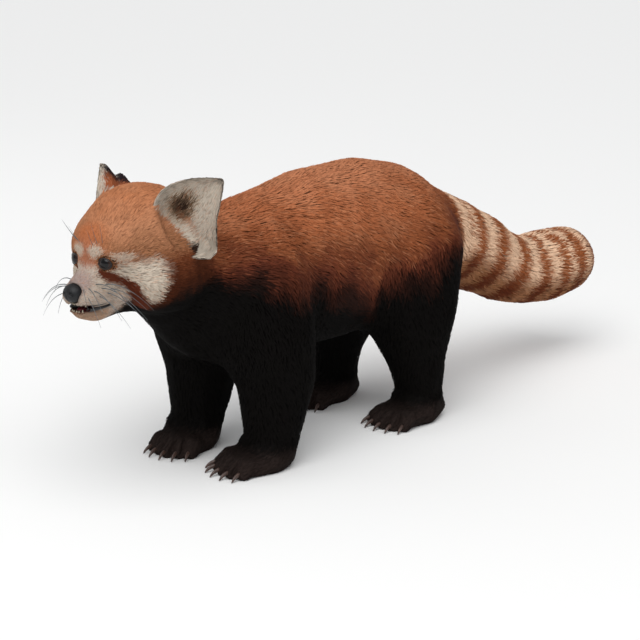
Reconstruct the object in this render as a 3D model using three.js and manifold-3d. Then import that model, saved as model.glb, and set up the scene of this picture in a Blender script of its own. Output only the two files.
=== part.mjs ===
// A life-size red panda standing still on four feet, mouth a little open, bushy ringed tail held out behind.
// Millimetres. +X is the animal's left, -Y is the way it faces, +Z is up, and it stands on z = 0.
// The solids give the outside of the coat. The flesh is one smooth field of rounded lumps, meshed piece by
// piece and parted by thin flat cuts at the joints that a person would name.
import * as THREE from "three";
import { mergeVertices } from "three/addons/utils/BufferGeometryUtils.js";
import { SimplifyModifier } from "three/addons/modifiers/SimplifyModifier.js";
import Module from "manifold-3d";

const wasm = await Module();
wasm.setup();

// Driving dimensions
const GAP = 0.3; // between neighbouring solids
const FEET = {
  left_fore: { at: [54, -83], toeIn: 14, length: 60, width: 26 },
  right_fore: { at: [-51, -85], toeIn: 12, length: 58, width: 26 },
  left_hind: { at: [61, 140], toeIn: 2, length: 65, width: 26 },
  right_hind: { at: [-60, 137], toeIn: 2, length: 68, width: 26 },
};
const ANKLE_Z = 30;
const TOES = 5;
const TOE_R = 8.2;
const CLAW = { length: 13, r: 2.6, bend: 55 };
const SOLE_SINK = 2; // how far the rounded sole is pressed flat by the floor
const HEAD = { at: [5, -207, 228], turn: 3, nod: 0, tilt: -1 };

// In the head's own axes: the middle of the skull at the origin, nose along -Y
const EYE = { at: [18, -54.5, 2.5], r: 8.4 };
const NOSE = { at: [0, -82, -23], r: [10.5, 8.5, 8.8] };
const MOUTH = { corner: -50, lips: -90, z: -35, open: 4.5, jawBack: -30, halfWidth: 24 };
const CAVITY = { at: [0, -64, -36], r: [13, 21, 8] };
const TONGUE = { at: [0, -63, -39.6], r: [8, 15, 3] };
const EAR = {
  foot: [61, 2.6, 32], // middle of the line along which the ear meets the head
  baseline: [34, 22, -46], // runs from the inner front edge to the outer lobe
  tip: [81, 29.6, 74],
  // the two edges along the baseline, from below the root to the tip
  inner: [-30, -37, -39, -36, -30, -21.5, -10],
  outer: [28, 38, 35, 18, 10, 2, -8],
  hollow: [29, 24, 18],
  sunk: 14,
  cup: 36,
  thick: 4.6,
  // the furry ridge up its back: balls in the ear's own axes, and how wide it is over its depth
  ridge: [
    [-3, 8, -28.5, 15.5],
    [-8, 35, -21.5, 6.5],
  ],
  ridgeWidth: 1.7,
};

const SIDES = { left: 1, right: -1 };
const WAIST_SQUASH = 0.82; // body width over body height

// Vectors as plain arrays, because the field is read millions of times
const mix = (a, b, t) => a + (b - a) * t;
const clamp01 = (t) => Math.min(1, Math.max(0, t));
const radians = THREE.MathUtils.degToRad;
const long = (x, y, z) => Math.sqrt(x * x + y * y + z * z);

// Union of two distances with a fillet about k wide
function blend(a, b, k) {
  const h = Math.max(k - Math.abs(a - b), 0) / k;
  return Math.min(a, b) - (h * h * k) / 4;
}

// A run of balls [x, y, z, r] joined by cones
function chain(balls, fillet = 14) {
  const links = balls.slice(1).map((b, i) => [balls[i], b]);
  return (x, y, z) => {
    let d = Infinity;
    for (const [a, b] of links) {
      const ux = b[0] - a[0];
      const uy = b[1] - a[1];
      const uz = b[2] - a[2];
      const along = (x - a[0]) * ux + (y - a[1]) * uy + (z - a[2]) * uz;
      const t = clamp01(along / (ux * ux + uy * uy + uz * uz));
      const gap = long(x - a[0] - t * ux, y - a[1] - t * uy, z - a[2] - t * uz);
      d = blend(d === Infinity ? 1e3 : d, gap - mix(a[3], b[3], t), fillet);
    }
    return d;
  };
}

function egg([cx, cy, cz], [rx, ry, rz]) {
  return (x, y, z) => {
    const [dx, dy, dz] = [x - cx, y - cy, z - cz];
    const inside = long(dx / rx, dy / ry, dz / rz);
    const slope = long(dx / (rx * rx), dy / (ry * ry), dz / (rz * rz));
    return slope < 1e-9 ? -Math.min(rx, ry, rz) : (inside * (inside - 1)) / slope;
  };
}

// Several fields with one fillet
function together(fields, fillet) {
  return (x, y, z) => fields.reduce((d, f) => blend(d, f(x, y, z), fillet), 1e3);
}

// A field given in its own axes, placed by a matrix
function placed(field, matrix) {
  const e = matrix.clone().invert().elements;
  return (x, y, z) =>
    field(
      e[0] * x + e[4] * y + e[8] * z + e[12],
      e[1] * x + e[5] * y + e[9] * z + e[13],
      e[2] * x + e[6] * y + e[10] * z + e[14],
    );
}

function frameAt([x, y, z], turn = 0, nod = 0, tilt = 0) {
  const euler = new THREE.Euler(radians(nod), radians(tilt), radians(turn), "ZYX");
  return new THREE.Matrix4().makeRotationFromEuler(euler).setPosition(x, y, z);
}

// Trunk: deep chest, round belly and sloping rump, narrower than it is deep
const TRUNK = [
  [0, -114, 170, 62],
  [0, -45, 184, 76],
  [0, 25, 187, 87],
  [0, 95, 190, 87],
  [0, 150, 188, 77],
  [0, 196, 180, 56],
];
const slimTrunk = chain(TRUNK, 20);
const trunkField = (x, y, z) => slimTrunk(x / WAIST_SQUASH, y, z) * WAIST_SQUASH;

// Tail: as thick as a forearm at the root, sinking and then levelling out to a blunt round end
const TAIL = [
  [0, 210, 182, 47],
  [0, 255, 170, 45],
  [0, 307, 147, 43],
  [0, 356, 122, 38],
  [0, 398, 111, 37],
  [0, 440, 109, 40],
  [0, 482, 110, 42],
];
const tailField = chain(TAIL, 18);

// Neck: thick, from the chest up into the back of the head
const neckField = chain(
  [
    [0, -92, 190, 57],
    [2, -140, 198, 52],
    [6, -184, 216, 50],
  ],
  20,
);

// Legs as [out to the side, along, up, radius], from the shoulder or hip down to the foot
const FORE_LEG = [
  [-12, -8, 178, 50],
  [-6, 1, 130, 46],
  [-2, 7, 92, 37],
  [-1, 4, 58, 30],
  [0, 0, 24, 27],
];
const ELBOW = [
  [0, 18, 120, 28],
  [1, 16, 90, 28],
  [0, 9, 50, 25],
];
const HIND_LEG = [
  [-22, 6, 176, 58],
  [-12, -2, 124, 47],
  [-7, -6, 92, 38],
  [-1, -4, 52, 26],
  [0, 0, 22, 23],
];
const legAt = (balls, { at: [x, y] }) =>
  balls.map(([out, along, up, r]) => [x + Math.sign(x) * out, y + along, up, r]);

// Toes of a foot in its own axes: the ankle over the origin, toes along -Y
function toes(foot) {
  return Array.from({ length: TOES }, (_, i) => {
    const across = (i / (TOES - 1)) * 2 - 1;
    const shorter = 9 * across * across;
    const angle = radians(16 * across);
    const root = [across * foot.width * 0.66, -foot.length * 0.42, 12];
    const reach = foot.length * 0.5 - shorter;
    return {
      angle,
      root,
      knuckle: [root[0] + Math.sin(angle) * reach * 0.55, root[1] - reach * 0.55, 13.5],
      tip: [root[0] + Math.sin(angle) * reach, root[1] - reach, TOE_R - SOLE_SINK + 0.4],
    };
  });
}

function footField(foot, heel) {
  const pad = chain(
    [
      [0, heel, 13, 14],
      [0, -foot.length * 0.16, 14, 20],
      [0, -foot.length * 0.46, 9, 18],
    ],
    8,
  );
  const wide = foot.width / 19;
  const palm = (x, y, z) => pad(x / wide, y, z);
  const digits = toes(foot).map(({ root, knuckle, tip }) =>
    chain([
      [...root, TOE_R + 0.8],
      [...knuckle, TOE_R],
      [...tip, TOE_R - 1],
    ], 4),
  );
  return (x, y, z) => blend(palm(x, y, z), Math.min(...digits.map((f) => f(x, y, z))), 5);
}

const footFrame = ({ at: [x, y], toeIn }) =>
  frameAt([x, y, -SOLE_SINK], -toeIn * Math.sign(x));

const legField = (name) => {
  const foot = FEET[name];
  const fore = name.endsWith("fore");
  const parts = [fore ? FORE_LEG : HIND_LEG, ...(fore ? [ELBOW] : [])];
  return together(
    [
      ...parts.map((balls) => chain(legAt(balls, foot), 12)),
      placed(footField(foot, fore ? 8 : 15), footFrame(foot)),
    ],
    9,
  );
};

// Head: domed skull, steep forehead, broad cheeks and a short muzzle
const headFrame = frameAt(HEAD.at, HEAD.turn, HEAD.nod, HEAD.tilt);
const both = (make) => [make(1), make(-1)];
const skull = together(
  [
    egg([0, 4, 14], [56, 57, 52]),
    egg([0, -30, 12], [42, 36, 31]),
    ...both((s) => egg([s * 35, -4, -18], [31, 38, 32])),
  ],
  14,
);
const muzzle = together(
  [
    chain([
      [0, -40, -15, 23],
      [0, -60, -23, 15],
      [0, -74, -23, 11],
    ]),
    chain([
      [0, -46, -4, 10],
      [0, -76, -18.5, 6.5],
    ]),
    ...both((s) => egg([s * 8.5, -73, -27], [11, 12, 8.5])),
    chain([
      [0, -20, -34, 18],
      [0, -56, -36.5, 13.5],
      [0, -72, -38, 10.2],
    ]),
  ],
  8,
);

// The ear's own axes: along the line where it meets the head, up to its tip, and out of its hollow
function earAxes() {
  const along = new THREE.Vector3(...EAR.baseline).normalize();
  const foot = new THREE.Vector3(...EAR.foot);
  const up = new THREE.Vector3(...EAR.tip).sub(foot);
  up.addScaledVector(along, -up.dot(along));
  const height = up.length();
  const front = along.clone().cross(up.normalize());
  const matrix = new THREE.Matrix4().makeBasis(along, up, front).setPosition(foot);
  return { height, matrix };
}
const ear = earAxes();
const hollow = placed(egg([0, 3, -8], EAR.hollow), ear.matrix);
const ridge = chain(EAR.ridge.map(([x, ...rest]) => [x / EAR.ridgeWidth, ...rest]));
const earBack = placed((x, y, z) => ridge(x / EAR.ridgeWidth, y, z), ear.matrix);
const headField = (x, y, z) => {
  const bare = blend(skull(x, y, z), muzzle(x, y, z), 13);
  const furred = blend(bare, earBack(Math.abs(x), y, z), 8);
  return -blend(-furred, hollow(Math.abs(x), y, z), 8);
};

const upperFields = [
  [trunkField, 1],
  [tailField, 24],
  [neckField, 30],
  [placed(headField, headFrame), 16],
  ...Object.keys(FEET).map((name) => [legField(name), 24]),
];
const flesh = (x, y, z) => upperFields.reduce((d, [f, k]) => blend(d, f(x, y, z), k), 1e3);

// Surface nets: a closed mesh of the field's zero level in a box, each vertex then slid onto the level
function meshOf(field, low, high, cell) {
  const n = low.map((l, q) => Math.ceil((high[q] - l) / cell) + 1);
  const step = [1, n[0], n[0] * n[1]];
  const values = sampled(field, low, cell, n, step);
  const corners = Array.from({ length: 8 }, (_, c) => [c & 1, (c >> 1) & 1, c >> 2]);
  const offsets = corners.map(([a, b, c]) => a + b * step[1] + c * step[2]);
  const edges = corners.flatMap((_, a) =>
    [1, 2, 4].filter((bit) => !(a & bit)).map((bit) => [a, a | bit]),
  );
  const vertexAt = new Map();
  const points = [];
  eachCell(n, (i, j, k) => {
    const here = i + j * step[1] + k * step[2];
    let count = 0;
    const sum = [0, 0, 0];
    for (const [a, b] of edges) {
      const va = values[here + offsets[a]];
      const vb = values[here + offsets[b]];
      if (va < 0 === vb < 0) continue;
      const t = va / (va - vb);
      for (let q = 0; q < 3; q++) sum[q] += mix(corners[a][q], corners[b][q], t);
      count++;
    }
    if (!count) return;
    vertexAt.set(here, points.length / 3);
    [i, j, k].forEach((c, q) => points.push(low[q] + (c + sum[q] / count) * cell));
  });
  const faces = [];
  eachCell(n, (i, j, k) => {
    const here = i + j * step[1] + k * step[2];
    const inside = values[here] < 0;
    for (let q = 0; q < 3; q++) {
      const [u, w] = [(q + 1) % 3, (q + 2) % 3];
      if (inside === values[here + step[q]] < 0 || ![i, j, k][u] || ![i, j, k][w]) continue;
      const ring = [0, step[u], step[u] + step[w], step[w]].map((c) => vertexAt.get(here - c));
      if (!inside) ring.reverse();
      faces.push(ring[0], ring[1], ring[2], ring[0], ring[2], ring[3]);
    }
  });
  slideOnto(field, points, cell);
  return shape(points, faces);
}

function eachCell(n, visit) {
  for (let k = 0; k < n[2] - 1; k++) {
    for (let j = 0; j < n[1] - 1; j++) {
      for (let i = 0; i < n[0] - 1; i++) visit(i, j, k);
    }
  }
}

// The field on a grid. Blocks well away from the surface take one value, and the outermost layer counts as
// outside.
function sampled(field, low, cell, n, step) {
  const values = new Float32Array(n[0] * n[1] * n[2]);
  const block = 4;
  const blocks = n.map((c) => Math.ceil(c / block) + 1);
  eachCell(blocks, (bi, bj, bk) => {
    const first = [bi, bj, bk].map((b) => b * block);
    const middle = first.map((c, q) => low[q] + (c + block / 2) * cell);
    const general = field(...middle);
    const near = Math.abs(general) < 6 * cell;
    for (let k = first[2]; k < Math.min(n[2], first[2] + block); k++)
      for (let j = first[1]; j < Math.min(n[1], first[1] + block); j++)
        for (let i = first[0]; i < Math.min(n[0], first[0] + block); i++) {
          const rim = [i, j, k].some((c, q) => c === 0 || c === n[q] - 1);
          const d = near
            ? field(low[0] + i * cell, low[1] + j * cell, low[2] + k * cell)
            : general;
          values[i + j * step[1] + k * step[2]] = rim ? Math.max(d, cell / 4) : d;
        }
  });
  return values;
}

function shape(points, faces) {
  const geometry = new THREE.BufferGeometry();
  geometry.setAttribute("position", new THREE.BufferAttribute(new Float32Array(points), 3));
  geometry.setIndex(faces);
  return geometry;
}

function slideOnto(field, points, cell) {
  const h = 0.05;
  for (let round = 0; round < 2; round++)
    for (let i = 0; i < points.length; i += 3) {
      const [x, y, z] = points.slice(i, i + 3);
      const d = field(x, y, z);
      const g = [
        (field(x + h, y, z) - d) / h,
        (field(x, y + h, z) - d) / h,
        (field(x, y, z + h) - d) / h,
      ];
      const share = d / Math.max(0.2, g[0] ** 2 + g[1] ** 2 + g[2] ** 2);
      const reach = Math.min(1, (0.4 * cell) / Math.max(1e-9, Math.abs(share) * Math.hypot(...g)));
      for (let q = 0; q < 3; q++) points[i + q] -= share * g[q] * reach;
    }
}

// Between three.js geometry and solids that can be cut
function solid(geometry, matrix) {
  let plain = new THREE.BufferGeometry();
  plain.setAttribute("position", geometry.getAttribute("position").clone());
  if (geometry.index) plain.setIndex(geometry.index.clone());
  if (matrix) plain.applyMatrix4(matrix);
  plain = mergeVertices(plain, 1e-4);
  return new wasm.Manifold(
    new wasm.Mesh({
      numProp: 3,
      vertProperties: plain.attributes.position.array,
      triVerts: new Uint32Array(plain.index.array),
    }),
  );
}

// Cuts leave corners a hair apart. Those nearer than a fiftieth of a millimetre become one.
const SLIVER = 0.02;
function geometryOf(manifold) {
  const mesh = manifold.getMesh();
  const p = mesh.vertProperties;
  const stand = Array.from({ length: p.length / 3 }, (_, i) => i);
  const owner = (i) => (stand[i] === i ? i : (stand[i] = owner(stand[i])));
  const tri = mesh.triVerts;
  for (let i = 0; i < tri.length; i++) {
    const a = tri[i];
    const b = tri[i % 3 === 2 ? i - 2 : i + 1];
    const [x, y, z] = [0, 1, 2].map((q) => p[3 * a + q] - p[3 * b + q]);
    if (long(x, y, z) < SLIVER) stand[owner(a)] = owner(b);
  }
  const faces = [];
  for (let i = 0; i < tri.length; i += 3) {
    const face = [owner(tri[i]), owner(tri[i + 1]), owner(tri[i + 2])];
    if (new Set(face).size === 3) faces.push(...face);
  }
  const geometry = shape(p, faces);
  geometry.computeVertexNormals();
  return geometry;
}

const largest = (manifold) =>
  manifold.decompose().reduce((a, b) => (b.volume() > a.volume() ? b : a));

async function thinned(geometry, triangles) {
  const over = geometry.index.count / 3 - triangles;
  return over > 0 ? new SimplifyModifier().modify(geometry, over / 2) : geometry;
}

// A half-space as a very large block whose one face passes through a point, facing along a direction
const FAR = 2000;
function behind(point, direction) {
  const out = new THREE.Vector3(...direction).normalize();
  const turn = new THREE.Quaternion().setFromUnitVectors(new THREE.Vector3(0, 0, 1), out);
  const centre = new THREE.Vector3(...point).addScaledVector(out, -FAR / 2);
  const matrix = new THREE.Matrix4().compose(centre, turn, new THREE.Vector3(1, 1, 1));
  return solid(new THREE.BoxGeometry(FAR, FAR, FAR), matrix);
}

// A cut is a plane with a direction. The piece before it and the piece after it end GAP apart.
const moved = ([x, y, z], [a, b, c], by) => {
  const share = by / long(a, b, c);
  return [x + a * share, y + b * share, z + c * share];
};
const before = ({ at, along }) => behind(moved(at, along, -GAP / 2), along);
const after = ({ at, along }) => behind(moved(at, along, GAP / 2), along.map((c) => -c));

const headBack = new THREE.Vector3(0, 38, 0).applyMatrix4(headFrame);
const CUTS = {
  nape: { at: headBack.toArray(), along: [-0.1, 1, -0.25] },
  withers: { at: [0, -128, 200], along: [0, 1, -0.1] },
  tailRoot: { at: [0, 236, 182], along: [0, 1, -0.45] },
  tailUpper: { at: [0, 318, 140], along: [0, 1, -0.5] },
  tailLower: { at: [0, 412, 110], along: [0, 1, 0] },
};
const LEG_BLOCKS = {
  fore: { from: -72, to: 84, x: 14, z: 118, rise: 1.1 },
  hind: { from: -88, to: 56, x: 12, z: 118, rise: 1.1 },
};

// Everything on one side below a plane that rises outwards, and between two upright planes
function legBlock(name, grow = 0) {
  const foot = FEET[name];
  const { from, to, x, z, rise } = LEG_BLOCKS[name.endsWith("fore") ? "fore" : "hind"];
  const side = Math.sign(foot.at[0]);
  return behind([side * (x - grow), 0, z + grow], [-side * rise, 0, 1])
    .intersect(behind([0, foot.at[1] + from - grow, 0], [0, -1, 0]))
    .intersect(behind([0, foot.at[1] + to + grow, 0], [0, 1, 0]))
    .intersect(behind([side * (GAP / 2 - grow), 0, 0], [-side, 0, 0]));
}

const MATERIALS = {
  red_coat: { color: 0x9a5233, roughness: 0.85 },
  black_coat: { color: 0x17120f, roughness: 0.85 },
  pale_coat: { color: 0xcabfae, roughness: 0.85 },
  ringed_coat: { color: 0xa86a45, roughness: 0.85 },
  nose_skin: { color: 0x141517, roughness: 0.45 },
  eye: { color: 0x0c0907, roughness: 0.08 },
  tongue: { color: 0x6a1c20, roughness: 0.4 },
  claw: { color: 0x4b3a33, roughness: 0.4 },
};

const panda = new THREE.Group();
function add(name, manifold, material) {
  const mesh = new THREE.Mesh(
    geometryOf(largest(manifold)),
    new THREE.MeshStandardMaterial(MATERIALS[material]),
  );
  mesh.name = name;
  panda.add(mesh);
}

// Flesh in a box, meshed at a fineness, thinned to a number of triangles and pressed flat by the floor
const floor = behind([0, 0, 0], [0, 0, -1]);
async function fleshIn(field, low, high, cell, triangles) {
  const whole = solid(await thinned(meshOf(field, low, high, cell), triangles));
  return low[2] < 0 ? whole.intersect(floor) : whole;
}

// Body, parted into trunk, neck, tail lengths and legs
const body = await fleshIn(flesh, [-92, -215, -6], [92, 540, 300], 5, 2900);
let rest = body;
for (const name in FEET) rest = rest.subtract(legBlock(name, GAP));
add("neck", rest.intersect(after(CUTS.nape)).intersect(before(CUTS.withers)), "red_coat");
add("trunk", rest.intersect(after(CUTS.withers)).intersect(before(CUTS.tailRoot)), "red_coat");
const tail = body.intersect(after(CUTS.tailRoot));
add("tail_root", tail.intersect(before(CUTS.tailUpper)), "ringed_coat");
add(
  "tail_middle",
  tail.intersect(after(CUTS.tailUpper)).intersect(before(CUTS.tailLower)),
  "ringed_coat",
);
add("tail_end", tail.intersect(after(CUTS.tailLower)), "ringed_coat");

// Claw: a curved, pointed, slightly flattened hook. Root at the origin, reaching along -Y and bending down.
function clawSolid(grow) {
  const rings = 3;
  const around = 5;
  const points = [];
  for (let i = 0; i <= rings; i++) {
    const t = i / rings;
    const bend = radians(CLAW.bend) * t;
    const reach = CLAW.length / radians(CLAW.bend);
    const centre = [0, -Math.sin(bend) * reach, -(1 - Math.cos(bend)) * reach];
    const r = (CLAW.r + grow) * Math.sqrt(1 - t * 0.97);
    for (let a = 0; a < around; a++) {
      const angle = (a / around) * 2 * Math.PI;
      const up = Math.sin(angle) * r;
      points.push(
        Math.cos(angle) * r * 0.72,
        centre[1] - Math.sin(bend) * up,
        centre[2] + Math.cos(bend) * up,
      );
    }
  }
  return loft(points, rings, around);
}

// Closed skin over rings of points. Each end is filled rung by rung, so a ring may be bent like a U.
function loft(points, rings, around) {
  const faces = [];
  for (let i = 0; i < rings; i++)
    for (let a = 0; a < around; a++) {
      const b = (a + 1) % around;
      const [p, q, r, s] = [i * around + a, i * around + b, (i + 1) * around + b, (i + 1) * around + a];
      faces.push(p, q, r, p, r, s);
    }
  const last = rings * around;
  const cap = (a, b, c) => faces.push(c, b, a, last + a, last + b, last + c);
  for (let lo = 0, hi = around - 1; lo + 1 < hi; lo++, hi--) {
    cap(lo, lo + 1, hi);
    if (lo + 1 < hi - 1) cap(lo + 1, hi - 1, hi);
  }
  return shape(points, faces);
}

// Legs and feet, with a claw let into the tip of each toe
for (const [name, foot] of Object.entries(FEET)) {
  const [x, y] = foot.at;
  const leg = body.intersect(legBlock(name)).intersect(behind([0, 0, ANKLE_Z + GAP / 2], [0, 0, -1]));
  add(`${name}leg`, leg, "black_coat");
  const low = [x - 42, y - foot.length - 12, -6];
  const high = [x + 42, y + 52, ANKLE_Z + 6];
  let paw = await fleshIn(flesh, low, high, 2.2, 210);
  paw = paw.intersect(behind([0, 0, ANKLE_Z - GAP / 2], [0, 0, 1]));
  toes(foot).forEach(({ angle, tip }, i) => {
    const seat = footFrame(foot).multiply(
      new THREE.Matrix4()
        .makeRotationZ(angle)
        .setPosition(tip[0], tip[1] - TOE_R * 0.45, tip[2] + 2),
    );
    paw = paw.subtract(solid(clawSolid(GAP), seat));
    const order = x > 0 ? i : TOES - 1 - i;
    add(`${name}_claw_${order + 1}`, solid(clawSolid(0), seat), "claw");
  });
  add(`${name}foot`, paw, "black_coat");
}

// Ear: a cupped leaf. Rows run from its sunken root to the tip, columns from the inner to the outer edge.
function earSolid(side, grow) {
  const rows = 7;
  const columns = 6;
  const edge = (list, t) => {
    const at = t * (list.length - 1);
    const i = Math.min(list.length - 2, Math.floor(at));
    return mix(list[i], list[i + 1], at - i);
  };
  const points = [];
  for (let i = 0; i <= rows; i++) {
    const t = i / rows;
    const rise = mix(-EAR.sunk - grow, ear.height, t);
    const [inner, outer] = [edge(EAR.inner, t), edge(EAR.outer, t)];
    const cup = EAR.cup * (1 - 0.8 * t);
    const middle = (inner + outer) / 2;
    const half = (outer - inner) / 2;
    const ring = [];
    for (let j = 0; j <= columns; j++) {
      const angle = (j / columns - 0.5) * Math.PI;
      const wall = (EAR.thick / 2) * (1 - 0.45 * t) * mix(1, 0.5, Math.sin(angle) ** 2) + grow;
      const [sin, cos] = [Math.sin(angle), Math.cos(angle)];
      const lean = long(sin / half, cos / cup, 0);
      const away = [(wall * sin) / half / lean, (-wall * cos) / cup / lean];
      ring.push([middle + half * sin, -cup * cos, ...away]);
    }
    const loop = [
      ...ring.map(([a, d, x, y]) => [a - x, d - y]),
      ...ring.reverse().map(([a, d, x, y]) => [a + x, d + y]),
    ];
    for (const [a, d] of loop) {
      const p = new THREE.Vector3(a, rise, d).applyMatrix4(ear.matrix);
      points.push(...p.setX(p.x * side).applyMatrix4(headFrame).toArray());
    }
  }
  const leaf = loft(points, rows, 2 * (columns + 1));
  if (side < 0) flip(leaf);
  return solid(leaf);
}

function flip(geometry) {
  const ix = geometry.index.array;
  for (let i = 0; i < ix.length; i += 3) [ix[i + 1], ix[i + 2]] = [ix[i + 2], ix[i + 1]];
}

const ball = (at, r, grow = 0, fine = [12, 8]) =>
  solid(
    new THREE.SphereGeometry(1, ...fine),
    headFrame
      .clone()
      .multiply(new THREE.Matrix4().makeTranslation(...at))
      .multiply(new THREE.Matrix4().makeScale(...r.map((c) => c + grow))),
  );

// Everything behind a plane given in the head's own axes
const headBlock = (point, way) => {
  const at = new THREE.Vector3(...point).applyMatrix4(headFrame);
  const out = new THREE.Vector3(...way).transformDirection(headFrame);
  return behind(at.toArray(), out.toArray());
};

// Head, parted along the mouth
const whole = (await fleshIn(flesh, [-76, -310, 150], [86, -150, 305], 2.6, 930)).intersect(
  before(CUTS.nape),
);
const jawSlope = MOUTH.open / (MOUTH.corner - MOUTH.lips);
const jawSides = (grow) =>
  headBlock([0, MOUTH.jawBack + grow, 0], [0, 1, 0])
    .intersect(headBlock([MOUTH.halfWidth + grow, 0, 0], [1, 0, 0]))
    .intersect(headBlock([-MOUTH.halfWidth - grow, 0, 0], [-1, 0, 0]));
const jawTop = MOUTH.z - GAP / 2;
const jawBlock = headBlock([0, MOUTH.corner, jawTop], [0, -jawSlope, 1])
  .intersect(headBlock([0, 0, jawTop], [0, 0, 1]))
  .intersect(jawSides(0));
const mouthBlock = headBlock([0, 0, MOUTH.z + GAP / 2], [0, 0, 1]).intersect(jawSides(GAP));
const cavity = ball(CAVITY.at, CAVITY.r);

// Teeth are part of the bone they grow from
const tooth = ([x, y, z], r, length, way) =>
  solid(
    new THREE.ConeGeometry(r, length + 4, 5, 1),
    headFrame
      .clone()
      .multiply(new THREE.Matrix4().makeRotationX((way * Math.PI) / 2))
      .setPosition(new THREE.Vector3(x, y, z + (way * (length - 4)) / 2).applyMatrix4(headFrame)),
  );
let head = whole.subtract(mouthBlock).subtract(cavity);
let jaw = whole.intersect(jawBlock).subtract(cavity);
for (const side of [1, -1]) {
  for (const [x, y, r, length] of [
    [9, -76, 1.5, 2.5],
    [12, -68, 1.4, 1.1],
    [13.5, -62, 1.4, 0.8],
  ])
    head = head.add(tooth([x * side, y, MOUTH.z], r, length, -1));
  for (const [x, y, r, length] of [
    [8, -80, 1.3, 2.4],
    [11.5, -72, 1.3, 1.1],
    [13, -65, 1.3, 0.8],
  ])
    jaw = jaw.add(tooth([x * side, y, MOUTH.z - (MOUTH.corner - y) * jawSlope], r, length, 1));
}
for (const [sideName, side] of Object.entries(SIDES)) {
  const at = [EYE.at[0] * side, EYE.at[1], EYE.at[2]];
  const r = [EYE.r, EYE.r, EYE.r];
  head = head.subtract(ball(at, r, GAP)).subtract(earSolid(side, GAP));
  add(`${sideName}_eye`, ball(at, r), "eye");
  add(`${sideName}_ear`, earSolid(side, 0), "pale_coat");
}
head = head.subtract(ball(NOSE.at, NOSE.r, GAP));
add("head", head, "red_coat");
add("lower_jaw", jaw, "pale_coat");
add("nose", ball(NOSE.at, NOSE.r), "nose_skin");
add("tongue", ball(TONGUE.at, TONGUE.r, 0, [10, 6]), "tongue");

// The middle of the whole part's box, seen from above, is its origin
const MIDDLE = [0, 113];
panda.position.set(-MIDDLE[0], -MIDDLE[1], 0);

export default panda;
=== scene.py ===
# %% [markdown]
# # A red panda, standing
#
# The animal is shown at life size, as a still model on its four feet. Its shape comes from the packed
# solids: a head, neck, trunk, ringed tail, legs and feet that already reach to the tips of the coat.
#
# What is left for Blender is everything that makes it look alive. One skin is drawn over the flesh, a
# little inside those solids, and a coat of many small tufts is laid on it. Then come the wet eyes and
# their lids, the nose, the lips and teeth, the whiskers and the claws.

import math

import bmesh
import bpy
import numpy as np
from mathutils import Matrix, Vector
from mathutils.bvhtree import BVHTree


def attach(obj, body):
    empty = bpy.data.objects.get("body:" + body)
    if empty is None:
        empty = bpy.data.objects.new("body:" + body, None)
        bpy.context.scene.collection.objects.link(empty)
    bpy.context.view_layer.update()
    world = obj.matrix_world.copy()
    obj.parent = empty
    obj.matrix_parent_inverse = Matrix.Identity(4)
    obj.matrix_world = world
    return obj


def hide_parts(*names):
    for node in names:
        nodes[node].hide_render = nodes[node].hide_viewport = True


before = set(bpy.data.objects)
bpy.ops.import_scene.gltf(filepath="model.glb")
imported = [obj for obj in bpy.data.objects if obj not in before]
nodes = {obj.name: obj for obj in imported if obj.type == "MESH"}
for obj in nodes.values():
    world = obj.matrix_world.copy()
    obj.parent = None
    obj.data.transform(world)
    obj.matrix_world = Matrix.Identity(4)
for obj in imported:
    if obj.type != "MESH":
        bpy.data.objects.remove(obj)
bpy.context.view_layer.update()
MM = 0.001

# %% [markdown]
# ## Putting things in the scene
#
# Cameras, lights and pieces all reach the scene by the same steps. Shapes are built as a bmesh and then
# become a mesh, and some meshes have one modifier worked into them. Four functions hold those steps.

# %% Helpers for meshes and objects
def add_object(name, data):
    """A new object in the scene, of the given mesh, camera or light."""
    made = bpy.data.objects.new(name, data)
    bpy.context.scene.collection.objects.link(made)
    return made


def mesh_of(shape, name):
    """A mesh made from a bmesh, which is freed."""
    made = bpy.data.meshes.new(name)
    shape.to_mesh(made)
    shape.free()
    return made


def joined(shapes, name):
    """One mesh of several bmeshes, which are freed."""
    together = bmesh.new()
    for shape in shapes:
        part = mesh_of(shape, "part")
        together.from_mesh(part)
        bpy.data.meshes.remove(part)
    return mesh_of(together, name)


def modified(mesh, name, kind, **settings):
    """The mesh with one modifier worked into it. The mesh it was made from is removed."""
    holder = add_object("holder", mesh)
    modifier = holder.modifiers.new(kind.lower(), kind)
    for setting, value in settings.items():
        setattr(modifier, setting, value)
    graph = bpy.context.evaluated_depsgraph_get()
    made = bpy.data.meshes.new_from_object(holder.evaluated_get(graph))
    made.name = name
    bpy.data.objects.remove(holder)
    bpy.data.meshes.remove(mesh)
    return made


# %% [markdown]
# ## The camera
#
# The picture was taken from the animal's front left, a little above its back. A long lens from nearly two
# metres keeps the near and far legs almost the same size, as they are in the picture.

# %% Set the camera
AIM = Vector((0, -67, 115)) * MM
CAMERA_AZIMUTH = math.radians(43)
CAMERA_HEIGHT = math.radians(14.5)
CAMERA_DISTANCE = 1800 * MM
FOCAL_PIXELS = 1710
PICTURE_PIXELS = 640

toward_camera = Vector((
    math.sin(CAMERA_AZIMUTH) * math.cos(CAMERA_HEIGHT),
    -math.cos(CAMERA_AZIMUTH) * math.cos(CAMERA_HEIGHT),
    math.sin(CAMERA_HEIGHT),
))
camera_data = bpy.data.cameras.new("camera")
camera_data.sensor_width = 36
camera_data.lens = camera_data.sensor_width * FOCAL_PIXELS / PICTURE_PIXELS
camera = add_object("camera", camera_data)
camera.location = AIM + toward_camera * CAMERA_DISTANCE
camera.rotation_euler = toward_camera.to_track_quat("Z", "Y").to_euler()
bpy.context.scene.camera = camera
print("lens in mm:", round(camera_data.lens, 1))

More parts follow.
